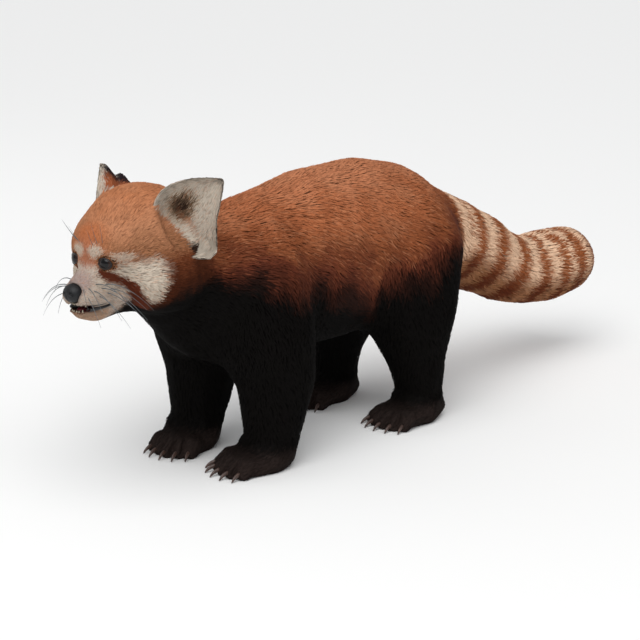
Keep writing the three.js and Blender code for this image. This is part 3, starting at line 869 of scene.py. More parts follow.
def markings(points, parts, normals):
    """The colour of each place on the coat and skin, as linear red, green and blue."""
    colours = body_colours(points)
    foot = holds(parts, "foot") | holds(parts, "claw")
    colours[foot] = mix(colours[foot], TOE, fade(-points[foot, 2] / MM, -30, -12))
    tail = holds(parts, "tail")
    colours[tail] = tail_colours(points[tail])
    y, z = points[:, 1] / MM, points[:, 2] / MM
    by_tail = (parts == "trunk") & (y > 88)
    tail_share = (fade(y, 90, 104) * fade(z, 150, 166))[by_tail]
    a_little_back = points[by_tail] + [0, 10 * MM, 0]
    colours[by_tail] = mix(colours[by_tail], tail_colours(a_little_back), tail_share)
    on_head = fade(-y, 266, 292) * np.isin(parts, HEAD_PARTS + ("neck",))
    colours = mix(colours, head_colours(points), on_head)
    ear = holds(parts, "ear")
    colours[ear] = ear_colours(points[ear], normals[ear])
    return colours


def write_colours(mesh, colours):
    """Stores colours on the mesh's vertices, where the coat's materials read them."""
    layer = mesh.color_attributes.new(name="Markings", type="FLOAT_COLOR", domain="POINT")
    with_alpha = np.concatenate([colours, np.ones((len(colours), 1))], 1)
    layer.data.foreach_set("color", with_alpha.ravel())


# painted shade: the skin between the tufts is painted darker than the tufts, as the shade deep in the coat
UNDERCOAT_PAINTED_SHADE = 0.72
skin_colours = blurred(markings(points, parts, normals), edges, 2)
write_colours(skin_mesh, skin_colours * UNDERCOAT_PAINTED_SHADE)
print("mean skin colour:", np.round(skin_colours.mean(0), 3))

# %% [markdown]
# ## The undercoat's finish
#
# Between the tufts one sees the woolly undercoat: matt, soft, with a fine uneven lie. It hardly shines,
# since its hairs point every way, and a small bump breaks up the surface.

# %% Finish the skin
def fur_material(name, roughness, shine, grain_mm, grain_strength):
    """Fur: colour from the markings, nearly matt, with a fine hair-wide bump."""
    made, tree, output = new_material(name)
    colour = add_node(tree, "ShaderNodeAttribute", attribute_name="Markings")
    place = add_node(tree, "ShaderNodeTexCoord")
    hair = add_node(tree, "ShaderNodeTexNoise", {
        "Vector": place.outputs["Object"],
        "Scale": 1 / (grain_mm * MM),
        "Detail": 3.0,
    })
    bump = add_node(tree, "ShaderNodeBump", {
        "Strength": grain_strength,
        "Distance": 0.5 * MM,
        "Height": hair.outputs["Fac"],
    })
    surface = add_node(tree, "ShaderNodeBsdfPrincipled", {
        "Base Color": colour.outputs["Color"],
        "Roughness": roughness,
        "IOR": 1.55,
        "Specular IOR Level": shine,
        "Normal": bump.outputs["Normal"],
    })
    tree.links.new(surface.outputs["BSDF"], output.inputs["Surface"])
    return made


skin_mesh.materials.append(fur_material("woolly undercoat", 0.85, 0.05, 1.2, 0.5))
print("skin finished")

# %% [markdown]
# ## The lie of the coat
#
# Fur has a grain. It runs back from the nose over the crown, back and down along the body, down the legs,
# forward over the toes, up the ears and along the tail. A direction is set for each part and then blurred
# over the skin, so that it turns smoothly from one part into the next, as cowlicks aside it does in life.

# %% Find the direction of the fur
def lie_of_coat(points, parts, normals, edges):
    """A unit direction along the skin at each vertex."""
    def laid_down(flow):
        """The directions with the part that leaves the skin taken out."""
        return unit(flow - normals * (flow * normals).sum(1, keepdims=True))

    flow = np.tile([0.0, 1.0, -0.2], (len(points), 1))
    flow[:, 2] -= 0.55 * np.abs(normals[:, 0])
    local = to_head(points)
    face = (parts == "head") | (parts == "lower_jaw")
    away = unit(local - NOSE_TIP)
    away[:, 2] -= 0.25 * fade(-local[:, 2], -5, 30)
    flow[face] = (away @ HEAD_TURN.T)[face]
    flow[parts == "neck"] = [0, 1, -0.35]
    flow[holds(parts, "leg")] = [0, 0.28, -1]
    flow[holds(parts, "foot")] = [0, -1, -0.3]
    tail = holds(parts, "tail")
    flow[tail] = along_tail(points[tail])[1]
    for side in SIDES:
        mirror = [1 if side == "left" else -1, 1, 1]
        along = on_ear(local)[:, 0]
        up = (EAR_UP + 0.012 * along[:, None] * EAR_ALONG) * mirror @ HEAD_TURN.T
        ear = parts == f"{side}_ear"
        flow[ear] = up[ear]
    flow = laid_down(flow)
    for _ in range(3):
        flow = laid_down(blurred(flow, edges, 6))
    return flow


flow = lie_of_coat(points, parts, normals, edges)
depth = coat_depth(points, parts, edges)
print("mean lie:", np.round(flow.mean(0), 2))

# %% [markdown]
# ## Tufts
#
# Real fur has thousands of hairs in each square centimetre, which no model can hold. A tuft stands for a
# lock of hairs that cling together: a thin three-sided blade, bent at its middle, whose root is sunk in
# the skin and whose tip ends where the solids did. The tufts overlap like thatch. They are long on the
# tail and body, short on the legs, and shortest on the muzzle and toes.
#
# All tufts are worked out together as arrays, since a list of separate objects would be far too slow.
# Where each one bends and ends is found by looking up the nearest skin, so that it hugs the form. Its
# shading normals are the skin's, which makes a soft pelt of light instead of a glitter of small faces.

# %% Measures of the tufts
# length and width in millimetres, and how many layers of tufts lie over each other
TUFT = {
    "head": (7.5, 1.15, 3.2), "lower_jaw": (4.0, 0.8, 2.6), "ear": (7.5, 1.0, 3.0),
    "neck": (13.0, 1.4, 3.1), "trunk": (15.0, 1.5, 3.1), "tail": (15.0, 1.5, 3.1),
    "leg": (10.0, 1.5, 1.7), "foot": (5.0, 1.2, 1.1), "claw": (2.5, 0.9, 0.4),
    "nose": (2.0, 0.6, 2.0), "tongue": (2.0, 0.6, 0.1), "eye": (2.2, 0.6, 2.2),
}
MUZZLE_TUFT = (3.0, 0.75, 2.4)
LID_CLEARANCE = 1.22
NOSE_PAD_RADIUS = 10.2


def tuft_fields(points, parts, edges):
    """Length, width and layers of the tufts at each vertex."""
    fields = np.stack([
        by_part(parts, {word: measures[i] for word, measures in TUFT.items()}) for i in range(3)
    ], 1)
    face = np.isin(parts, ("head", "lower_jaw", "left_eye", "right_eye"))
    share = (muzzle_share(to_head(points)) * face)[:, None]
    fields = fields * (1 - share) + np.array(MUZZLE_TUFT) * share
    return blurred(fields, edges, 10)


def bare(points):
    """True where no tuft grows: in the eyes, the mouth and under the nose pad."""
    local = to_head(points)
    eyes = (lid_reach(local, 1) < LID_CLEARANCE) | (lid_reach(local, -1) < LID_CLEARANCE)
    eyes &= np.abs(local[:, 2] - EYE_PLACE[2]) < EYE_RADIUS + 3
    side, y, z = np.abs(local[:, 0]), local[:, 1], local[:, 2]
    gum = MOUTH_PLANE - MOUTH_GAPE * np.clip((y - MOUTH_CORNER) / (MOUTH_FRONT - MOUTH_CORNER), 0, 1) / 2
    mouth = (y < MOUTH_CORNER) & (np.abs(z - gum) < 2.6 + 0.3 * MOUTH_GAPE)
    mouth |= (y < MOUTH_CORNER) & (side < 15) & (y > -78) & (np.abs(z - gum) < 9)
    pad = np.linalg.norm(local - NOSE_TIP - [0, 6, -1.5], axis=1) < NOSE_PAD_RADIUS
    return eyes | mouth | pad


fields = tuft_fields(points, parts, edges)
print("tuft lengths in mm:", fields[:, 0].min().round(1), "to", fields[:, 0].max().round(1))

# %% [markdown]
# The roots are scattered over the skin by area, with more of them where the tufts are short and narrow,
# so that each part is covered by the same few layers. The draws start from a fixed number, so the coat
# is the same each time.

# %% Scatter the roots
def scatter(mesh, vertex_values, wanted_per_mm2, draws):
    """Random places on the mesh: their triangle's corners and the weights of those corners."""
    corners = np.empty(len(mesh.polygons) * 3, int)
    mesh.loops.foreach_get("vertex_index", corners)
    corners = corners.reshape(-1, 3)
    a, b, c = (vertex_values[corners[:, i]] for i in range(3))
    area = np.linalg.norm(np.cross(b - a, c - a), axis=1) / 2 / MM ** 2
    expected = np.cumsum(area * wanted_per_mm2[corners].mean(1))
    count = int(expected[-1])
    picks = np.searchsorted(expected, np.arange(count) + draws.uniform(size=count))
    picks = corners[np.minimum(picks, len(corners) - 1)]
    u, v = draws.uniform(size=(2, count))
    fold = u + v > 1
    u[fold], v[fold] = 1 - u[fold], 1 - v[fold]
    return picks, np.stack([1 - u - v, u, v], 1)


def at_roots(values, picks, weights):
    """Vertex values read at the scattered places."""
    return (values[picks] * weights.reshape(weights.shape + (1,) * (values.ndim - 1))).sum(1)


draws = np.random.default_rng(7)
per_mm2 = fields[:, 2] / (fields[:, 0] * fields[:, 1] * 0.5)
picks, weights = scatter(skin_mesh, points, per_mm2, draws)
roots = at_roots(points, picks, weights)
grows = ~bare(roots)
picks, weights, roots = picks[grows], weights[grows], roots[grows]
root_parts = parts[picks[:, 0]]
root_normals = unit(at_roots(normals, picks, weights))
root_flow = at_roots(flow, picks, weights)
length, width = at_roots(fields[:, :2], picks, weights).T
root_depth = at_roots(depth, picks, weights)
print("tufts:", len(roots))

# %% [markdown]
# Each tuft sets out along the lie, a little astray. Its middle and its tip are each set over the nearest
# skin, at a height within the coat's depth. Seven corners make it: three at the root, three at the bend
# and the tip.

# %% Bend the tufts over the skin
WANDER = 0.22
STRAY_ANGLE = 0.12
MIDDLE_LIFT = 0.72
ROOT_WIDTH = 0.6
RIDGE_HEIGHT = 0.55
ROOT_SINK = 0.25 * MM
FLOOR_GAP = 0.1 * MM
SIDE_TILT = 0.22
skin_tree = BVHTree.FromPolygons([v.co.copy() for v in skin_mesh.vertices],
                                 [tuple(p.vertices) for p in skin_mesh.polygons])
skin_corners = np.array([p.vertices[:] for p in skin_mesh.polygons])


def over_skin(places):
    """The nearest place on the skin, and the smooth normal there."""
    found = [skin_tree.find_nearest(Vector(p)) for p in places.tolist()]
    ground = np.array([hit[0][:] for hit in found])
    return ground, unit(normals[skin_corners[np.array([hit[2] for hit in found])]].mean(1))


def section(place, normal, half_width, height, sideways):
    """The three corners of a tuft across its width at one place along it."""
    return [
        place - sideways * half_width[:, None],
        place + normal * height[:, None],
        place + sideways * half_width[:, None],
    ]


def section_normals(normal, sideways):
    """Where the light falls on a tuft: nearly as on the skin, turned a little to each of its sides."""
    return [unit(normal - sideways * SIDE_TILT), normal, unit(normal + sideways * SIDE_TILT)]


count = len(roots)
wander = WANDER * mottle(roots, 20, 8) + draws.normal(0, STRAY_ANGLE, count)
across = unit(np.cross(root_normals, root_flow))
heading = unit(root_flow * np.cos(wander)[:, None] + across * np.sin(wander)[:, None])
reach = length * draws.uniform(0.7, 1.2, count) * MM
middle_ground, middle_normals = over_skin(roots + heading * (0.5 * reach)[:, None])
tip_ground, tip_normals = over_skin(middle_ground + heading * (0.5 * reach)[:, None])
# a tuft on an ear's thin edge that would lie over onto the other face is left out
strayed = (root_normals * tip_normals).sum(1) < 0.1
lift = root_depth * draws.uniform(0.45, 1.0, count) * MM
middle = middle_ground + middle_normals * (MIDDLE_LIFT * lift)[:, None]
tip = tip_ground + tip_normals * (lift * draws.uniform(0.7, 1.0, count))[:, None]
half = width * draws.uniform(0.75, 1.2, count) * MM / 2
ridge = RIDGE_HEIGHT * half
base = roots - root_normals * ROOT_SINK
tuft_corners = np.stack([
    *section(base, root_normals, ROOT_WIDTH * half, ridge, across),
    *section(middle, middle_normals, half, ridge, across),
    tip,
], 1)
tuft_corners[..., 2] = np.maximum(tuft_corners[..., 2], FLOOR_GAP)
tuft_normals = np.stack([
    *section_normals(root_normals, across),
    *section_normals(middle_normals, across),
    tip_normals,
], 1)
TUFT_FACES = np.array([
    [0, 1, 2],
    [0, 4, 1], [0, 3, 4], [1, 5, 2], [1, 4, 5], [2, 3, 0], [2, 5, 3],
    [3, 6, 4], [4, 6, 5], [5, 6, 3],
])
print("longest tuft in mm:", round(reach.max() / MM, 1))

# %% [markdown]
# ## Each tuft's colour
#
# A tuft takes the colour of its root, read a few millimetres to one side at random. That mixes the tufts
# at the edge of a marking, so that the white cheek and the rings fray into their neighbours as fur does.
# Tufts also differ among themselves, some sun-bleached and some dark, and each is darkest at its root,
# where its neighbours shade it.

# %% Colour the tufts
FACE_FRAY = 1.3 * MM
BODY_FRAY = 3.5 * MM
ODD_TUFTS = 0.16
ODD_TINT = 0.3
ROOT_SHADE, MIDDLE_SHADE, TIP_SHADE = 0.8, 0.97, 1.06

fray = np.where(np.isin(root_parts, ("head", "lower_jaw")), FACE_FRAY, BODY_FRAY)
colour_places = roots + root_flow * (draws.normal(size=count) * fray)[:, None]
colour_places += across * (draws.normal(size=count) * fray * 0.6)[:, None]
tuft_colours = markings(colour_places, root_parts, root_normals)
brightness = tuft_colours.mean(1)
warm = fade(brightness, 0.03, 0.12) * (1 - fade(brightness, 0.42, 0.6))
for tint in (RUFOUS_PALE * 1.12, DARK_RED):
    tuft_colours = mix(tuft_colours, tint, (draws.uniform(size=count) < ODD_TUFTS) * ODD_TINT * warm)
tuft_colours *= draws.uniform(0.91, 1.08, count)[:, None]
shades = np.array([ROOT_SHADE] * 3 + [MIDDLE_SHADE] * 3 + [TIP_SHADE])
corner_colours = np.clip(tuft_colours[:, None, :] * shades[None, :, None], 0, 1)
print("mean tuft colour:", np.round(tuft_colours.mean(0), 3))

# %% [markdown]
# ## The coat in pieces
#
# One mesh of all the tufts would be too heavy to handle, so the coat is divided as a furrier would cut a
# pelt: face, crown, ears, neck, shoulders, flanks, rump, tail and legs. Each piece also gets a map for
# baking, an unwrap of the part's own skin: the angle round the part, and the distance along it. A tuft is
# a small patch there, at its root's place.

# %% Make the coat's pieces
PATCH = 0.003
# where a tuft's seven corners lie on its patch
PATCH_CORNERS = PATCH * np.array([
    [-0.5, -0.5], [0, -0.3], [0.5, -0.5],
    [-0.5, 0], [0, 0.15], [0.5, 0],
    [0, 0.5],
])
# limits of the pieces in millimetres: backward on the head, and backward in the row frame
MUZZLE_BACK = -46
SHOULDERS_BACK = -90
FLANKS_BACK = 0
TAIL_HALFWAY = 250
MIDDLE_OF_HEAD = 5
BACKWARD = (0, 1, 0)


def place_piece(name, mesh, material, replaced=()):
    """Puts a smooth mesh in the scene as a piece of the animal."""
    mesh.shade_smooth()
    mesh.materials.append(material)
    piece = add_object(name, mesh)
    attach(piece, "root")
    if replaced:
        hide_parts(*replaced)
    return piece


def unwrapped(places, axis):
    """Angle round an axis and distance along it, both from 0 to 1, for places on one part."""
    axis = unit(np.array([axis], float))[0]
    first = unit(np.cross([axis], [[1.0, 0.3, 0.2]]))[0]
    second = np.cross(axis, first)
    centred = places - places.mean(0)
    around = np.arctan2(centred @ first, centred @ second) / (2 * math.pi) + 0.5
    along = centred @ axis
    along = (along - along.min()) / (np.ptp(along) + 1e-9)
    return 0.004 + 0.99 * np.stack([around, along], 1)


def coat_piece(name, chosen, material, axis):
    """One mesh of the chosen tufts, with its colours, soft normals and baking map."""
    chosen = np.flatnonzero(chosen & ~strayed)
    total = len(chosen)
    corners = tuft_corners[chosen].reshape(-1, 3)
    faces = (TUFT_FACES[None] + 7 * np.arange(total)[:, None, None]).reshape(-1, 3)
    mesh = bpy.data.meshes.new(name)
    mesh.vertices.add(len(corners))
    mesh.vertices.foreach_set("co", corners.ravel())
    mesh.loops.add(faces.size)
    mesh.loops.foreach_set("vertex_index", faces.ravel())
    mesh.polygons.add(len(faces))
    mesh.polygons.foreach_set("loop_start", np.arange(0, faces.size, 3))
    mesh.update(calc_edges=True)
    write_colours(mesh, corner_colours[chosen].reshape(-1, 3))
    places = unwrapped(roots[chosen], axis)
    corners_uv = (places[:, None, :] + PATCH_CORNERS[None]).reshape(-1, 2)
    layer = mesh.uv_layers.new(name="OFBake")
    layer.data.foreach_set("uv", corners_uv[faces.ravel()].ravel())
    place_piece(name, mesh, material)
    mesh.normals_split_custom_set_from_vertices(tuft_normals[chosen].reshape(-1, 3))
    print(name, total, "tufts,", len(faces), "triangles")


long_fur = fur_material("long guard hair", 0.65, 0.05, 0.9, 0.15)
short_fur = fur_material("short face hair", 0.75, 0.06, 0.7, 0.15)
dark_fur = fur_material("black leg hair", 0.7, 0.05, 0.9, 0.15)
back = roots[:, 1] / MM
on_head = np.isin(root_parts, HEAD_PARTS)
on_trunk = root_parts == "trunk"
on_tail = holds(root_parts, "tail")
muzzle = on_head & (to_head(roots)[:, 1] < MUZZLE_BACK)
coat_piece("coat_muzzle", muzzle, short_fur, BACKWARD)
for side in SIDES:
    this_half = (roots[:, 0] > MIDDLE_OF_HEAD * MM) == (side == "left")
    rest_of_head = on_head & ~muzzle & this_half
    coat_piece(f"coat_{side}_cheek_and_crown", rest_of_head, short_fur, (0, 1, 0.3))
    on_ear_itself = root_parts == f"{side}_ear"
    coat_piece(f"coat_{side}_ear", on_ear_itself, short_fur, (0.4, 0.5, 0.6))
for name, chosen in {
    "coat_neck": root_parts == "neck",
    "coat_shoulders": on_trunk & (back < SHOULDERS_BACK),
    "coat_flanks": on_trunk & (back >= SHOULDERS_BACK) & (back < FLANKS_BACK),
    "coat_rump": on_trunk & (back >= FLANKS_BACK),
}.items():
    coat_piece(name, chosen, long_fur, BACKWARD)
coat_piece("coat_tail_root", on_tail & (back < TAIL_HALFWAY), long_fur, BACKWARD)
coat_piece("coat_tail_end", on_tail & (back >= TAIL_HALFWAY), long_fur, BACKWARD)
for leg in LEGS:
    on_leg = np.char.startswith(root_parts, leg)
    coat_piece(f"coat_{leg}leg", on_leg, dark_fur, (0, 0, 1))

# %% [markdown]
# ## The eyes
#
# An eye is a ball with a clearer, steeper bulge in front, the cornea, which catches the window light. The
# iris is dark brown and the pupil nearly as dark, so from a little way off the whole eye is black and
# shining. A small ring of dark, bare skin edges the lids.

# %% Make the eyeballs
def finished_piece(name, shape, material, replaced=()):
    """Turns a bmesh into a smooth piece of the animal."""
    bmesh.ops.recalc_face_normals(shape, faces=shape.faces)
    return place_piece(name, mesh_of(shape, name), material, replaced)


def shade_ramp(tree, factor, stops):
    """Links a factor to a colour ramp with the given stops, and gives the ramp's colour."""
    ramp = add_node(tree, "ShaderNodeValToRGB", {"Fac": factor})
    elements = ramp.color_ramp.elements
    for element, (position, colour) in zip(elements, stops):
        element.position = position
        element.color = linear(colour)
    for position, colour in stops[2:]:
        elements.new(position).color = linear(colour)
    return ramp.outputs["Color"]


def wet_material(name, colour, roughness, coat, bump_mm, bump_strength):
    """Moist or bare skin: an even colour, a soft wet coat, and a fine pebbled bump where it has one."""
    made, tree, output = new_material(name)
    place = add_node(tree, "ShaderNodeTexCoord")
    pebble = add_node(tree, "ShaderNodeTexVoronoi", {
        "Vector": place.outputs["Object"],
        "Scale": 1 / (bump_mm * MM),
    })
    uneven = add_node(tree, "ShaderNodeTexNoise", {"Vector": place.outputs["Object"], "Scale": 260.0})
    tone = add_node(tree, "ShaderNodeMix", {"Factor": uneven.outputs["Fac"]}, data_type="RGBA")
    tone.inputs["A"].default_value = [c * 0.75 for c in linear(colour)[:3]] + [1]
    tone.inputs["B"].default_value = [min(1, c * 1.25) for c in linear(colour)[:3]] + [1]
    bump = add_node(tree, "ShaderNodeBump", {
        "Strength": bump_strength,
        "Distance": 0.25 * MM,
        "Height": pebble.outputs["Distance"],
    })
    surface = add_node(tree, "ShaderNodeBsdfPrincipled", {
        "Base Color": tone.outputs["Result"],
        "Roughness": roughness,
        "IOR": 1.4,
        "Coat Weight": coat,
        "Coat Roughness": 0.12,
        "Normal": bump.outputs["Normal"],
    })
    tree.links.new(surface.outputs["BSDF"], output.inputs["Surface"])
    return made


# pupil, iris and the dark rim round it
EYE_SHADES = [(0.30, "#050304"), (0.38, "#2A1710"), (0.62, "#22120C"), (0.72, "#0B0706")]
eye_material, tree, output = new_material("wet eye, dark brown iris")
from_pupil = add_node(tree, "ShaderNodeAttribute", attribute_name="FromPupil")
surface = add_node(tree, "ShaderNodeBsdfPrincipled", {
    "Base Color": shade_ramp(tree, from_pupil.outputs["Fac"], EYE_SHADES),
    "Roughness": 0.12,
    "IOR": 1.376,
    "Specular IOR Level": 0.4,
    "Coat Weight": 0.15,
    "Coat Roughness": 0.03,
})
tree.links.new(surface.outputs["BSDF"], output.inputs["Surface"])


def axes_matrix(middle, x_axis, y_axis, z_axis):
    """The matrix that puts a shape's own axes on the given ones. All are on the head, in millimetres."""
    turn = HEAD_TURN @ np.stack([x_axis, y_axis, z_axis], 1)
    made = Matrix([list(row) for row in turn]).to_4x4()
    made.translation = Vector(from_head(middle))
    return made


CORNEA_BULGE = 0.07
CORNEA_SPREAD = 0.5
for side_name, side in zip(SIDES, (1, -1)):
    middle, outward, up, gaze = eye_axes(side)
    ball = bmesh.new()
    bmesh.ops.create_uvsphere(ball, u_segments=40, v_segments=28, radius=EYE_RADIUS * MM)
    distances = []
    for corner in ball.verts:
        height = corner.co.z / (EYE_RADIUS * MM)
        corner.co *= 1 + CORNEA_BULGE * fade(np.array(height), CORNEA_SPREAD, 1.0)
        distances.append(math.acos(max(-1, min(1, height))) / (math.pi / 2))
    ball.transform(axes_matrix(middle, outward * side, up, gaze))
    eye = finished_piece(f"{side_name}_eyeball", ball, eye_material, [f"{side_name}_eye"])
    layer = eye.data.attributes.new("FromPupil", "FLOAT", "POINT")
    layer.data.foreach_set("value", distances)
print("eyeballs:", 2 * EYE_RADIUS, "mm across")

# %% [markdown]
# A thin rim of bare dark skin edges the lids. It is a tube that follows their oval on the ball. The same
# tube serves for the lips and the whiskers below.

# %% Edge the lids with bare dark skin
def tube(shape, path, radii, sides=8):
    """A closed or tapering tube through a list of places, as rings of edges bridged two by two."""
    path = [Vector(p) for p in path]
    rings_made = []
    for index, (place, radius) in enumerate(zip(path, radii)):
        before = path[max(index - 1, 0)]
        after = path[min(index + 1, len(path) - 1)]
        turn = (after - before).to_track_quat("Z", "Y").to_matrix().to_4x4()
        turn.translation = place
        ring = bmesh.ops.create_circle(shape, segments=sides, radius=radius, matrix=turn)["verts"]
        ring_edges = [edge for corner in ring for edge in corner.link_edges]
        rings_made.append(list(dict.fromkeys(ring_edges)))
    for first, second in zip(rings_made, rings_made[1:]):
        bmesh.ops.bridge_loops(shape, edges=first + second)
    for end in (rings_made[0], rings_made[-1]):
        bmesh.ops.edgeloop_fill(shape, edges=end)


lid_skin = wet_material("bare black eyelid skin", "#120D0C", 0.45, 0.3, 0.9, 0.2)
LID_EDGE_RADIUS = 0.62
LID_EDGE_HEIGHT = 0.35
LID_EDGE_STEPS = 41
for side_name, side in zip(SIDES, (1, -1)):
    middle, outward, up, gaze = eye_axes(side)
    edge_shape = bmesh.new()
    path = []
    for turn in np.linspace(0, 2 * math.pi, LID_EDGE_STEPS):
        a = LID_HALF_WIDTH * math.cos(turn)
        b = LID_HALF_HEIGHT * math.sin(turn)
        front = math.sqrt(max((EYE_RADIUS + LID_EDGE_HEIGHT) ** 2 - a * a - b * b, 0))
        path.append(from_head(middle + outward * a + up * b + gaze * front))
    tube(edge_shape, path, [LID_EDGE_RADIUS * MM] * len(path))
    bmesh.ops.remove_doubles(edge_shape, verts=edge_shape.verts, dist=0.01 * MM)
    finished_piece(f"{side_name}_eyelid_edge", edge_shape, lid_skin)
print("eyes made")

# %% [markdown]
# ## Nose, tongue and claws
#
# These are the animal's bare, firm parts. The solids already hold their place and size, so each is copied,
# its corners are merged, and a Subdivision Surface modifier rounds it. The nose is then given its
# nostrils: two comma-shaped dents, pressed in from the front, and the groove between them.

# %% Round the bare parts
def rounded_copy(names, levels, growth=0.0):
    """Copies of solids, merged and rounded by subdivision, as one bmesh."""
    together = joined([merged_copy(name, growth) for name in names], "together")
    rounded = modified(together, "rounded", "SUBSURF", levels=levels, render_levels=levels)
    shape = bmesh.new()
    shape.from_mesh(rounded)
    bpy.data.meshes.remove(rounded)
    return shape


NOSTRIL = np.array([4.6, -89.5, -22.5])
NOSTRIL_SIZE = np.array([2.2, 5.0, 1.7])
NOSTRIL_DEPTH = 2.2
nose = rounded_copy(["nose"], 3, 0.3 * MM)
for corner in nose.verts:
    place = to_head(corner.co)
    mirrored = np.array([abs(place[0]), place[1], place[2]])
    mirrored[2] += 0.35 * (mirrored[0] - NOSTRIL[0])
    hole = np.linalg.norm((mirrored - NOSTRIL) / NOSTRIL_SIZE)
    groove = math.exp(-(place[0] / 0.9) ** 2) * fade(-place[2], 20, 26) * 0.9
    place[1] += NOSTRIL_DEPTH * (1 - fade(hole, 0.55, 1.15)) + groove
    corner.co = Vector(from_head(place))
nose_skin = wet_material("bare nose leather", "#0D0E11", 0.5, 0.02, 0.9, 0.35)
finished_piece("nose_pad", nose, nose_skin, ["nose"])

tongue = rounded_copy(["tongue"], 2)
for corner in tongue.verts:
    place = to_head(corner.co)
    place[2] -= 0.5 * math.exp(-(place[0] / 1.5) ** 2) * fade(place[2], -40, -38)
    corner.co = Vector(from_head(place))
tongue_skin = wet_material("wet tongue", "#6E1F26", 0.35, 0.5, 0.8, 0.5)
finished_piece("tongue_flesh", tongue, tongue_skin, ["tongue"])
print("nose and tongue made")

# %% [markdown]
# Claws, teeth and whiskers are all horn or enamel, whose colour drifts in soft flecks between two shades.
# One function makes that finish for the three. The claws grow in lines, so theirs also has a bump.

# %% Round the claws
def flecked_material(name, fleck_mm, stops, roughness, ior, coat=0.0, detail=2.0, bump_strength=0.0):
    """Horn or enamel: a colour that drifts between two shades in flecks of the given size."""
    made, tree, output = new_material(name)
    place = add_node(tree, "ShaderNodeTexCoord")
    fleck = add_node(tree, "ShaderNodeTexNoise", {
        "Vector": place.outputs["Object"],
        "Scale": 1 / (fleck_mm * MM),
        "Detail": detail,
    })
    bump = add_node(tree, "ShaderNodeBump", {
        "Strength": bump_strength,
        "Distance": 0.2 * MM,
        "Height": fleck.outputs["Fac"],
    })
    surface = add_node(tree, "ShaderNodeBsdfPrincipled", {
        "Base Color": shade_ramp(tree, fleck.outputs["Fac"], stops),
        "Roughness": roughness,
        "IOR": ior,
        "Coat Weight": coat,
        "Normal": bump.outputs["Normal"],
    })
    tree.links.new(surface.outputs["BSDF"], output.inputs["Surface"])
    return made


CLAW_GROWTH = 0.45 * MM
HORN_SHADES = [(0.3, "#2E211C"), (0.75, "#5C453C")]
claw_horn = flecked_material("claw horn", 1.5, HORN_SHADES, 0.38, 1.54, detail=3.0, bump_strength=0.15)
for leg in LEGS:
    names = [f"{leg}_claw_{number}" for number in range(1, CLAWS + 1)]
    finished_piece(f"{leg}_claws", rounded_copy(names, 2, CLAW_GROWTH), claw_horn, names)
print("claws:", CLAWS * len(LEGS))

# %% [markdown]
# ## Lips and teeth
#
# The mouth is a little open. Black lips edge it above and below, and behind them stand small pointed
# teeth: this animal belongs with the flesh eaters, so it has canines, though it lives on bamboo. The lips
# are tubes that follow the skin's own outline, found by looking for the skin from outside at the height
# of each gum.

# %% Draw the lips
LIP_MIDDLE = np.array([0.0, -58.0])
LIP_REACH = 45.0
LIP_TURN = math.radians(104)
LIP_STEPS = 45
# how far each lip lies behind the skin, and its greatest half thickness, in millimetres
LIPS = {"upper_lip": (0.5, 0.8), "lower_lip": (-0.5, 1.8)}


def lip_path(gum_at, inward):
    """Places round the muzzle, from corner to corner of the mouth, at the height of a gum."""
    path = []
    for turn in np.linspace(-LIP_TURN, LIP_TURN, LIP_STEPS):
        way = np.array([math.sin(turn), -math.cos(turn)])
        far = LIP_MIDDLE + way * LIP_REACH
        height = gum_at(far[1])
        for _ in range(2):
            start = Vector(from_head([*far, height]))
            end = Vector(from_head([*LIP_MIDDLE, height]))
            hit = skin_tree.ray_cast(start, (end - start).normalized())[0]
            if hit is None:
                break
            height = gum_at(to_head(hit)[1])
        if hit is not None:
            spot = to_head(hit)
            spot[:2] -= way * inward
            path.append(from_head(spot))
    return path


def upper_gum(y):
    """The height of the upper lip."""
    return MOUTH_PLANE + 0.6


def lower_gum(y):
    """The height of the lower lip, which drops toward the front."""
    return MOUTH_PLANE - MOUTH_GAPE * (y - MOUTH_CORNER) / (MOUTH_FRONT - MOUTH_CORNER) - 0.9


lip_skin = wet_material("wet black lip skin", "#0C090A", 0.4, 0.45, 0.8, 0.2)
for (name, (inward, thickest)), gum_at in zip(LIPS.items(), (upper_gum, lower_gum)):
    lip = bmesh.new()
    path = lip_path(gum_at, inward)
    swell = np.sin(np.linspace(0.25, math.pi - 0.25, len(path)))
    tube(lip, path, thickest * MM * (0.45 + 0.55 * swell))
    finished_piece(name, lip, lip_skin)
    print(name, len(path), "places")

# %% [markdown]
# The teeth are small cones that stand on the gums: cutters in front, then a longer pointed one, then
# broader ones behind. They are given for one side and mirrored.

# %% Set the teeth
ENAMEL_SHADES = [(0.0, "#8F8168"), (1.0, "#BDB29C")]
# side, distance back, length and thickness in millimetres on the head's axes
UPPER_TEETH = [
    (2.2, -79.0, 1.0, 1.1), (5.0, -78.0, 1.1, 1.2), (8.6, -75.5, 1.8, 1.3),
    (11.2, -68.0, 1.3, 1.5), (12.6, -62.0, 1.2, 1.6),
]
LOWER_TEETH = [
    (1.8, -80.5, 0.3, 0.9), (4.4, -80.0, 0.3, 0.9), (7.4, -78.5, 1.0, 1.1),
    (10.4, -72.0, 0.6, 1.3), (11.8, -65.0, 0.8, 1.4),
]
TOOTH_ROOT = 1.4
TOOTH_TIP_SHARE = 0.22
enamel = flecked_material("tooth enamel", 2.5, ENAMEL_SHADES, 0.25, 1.62, coat=0.3)


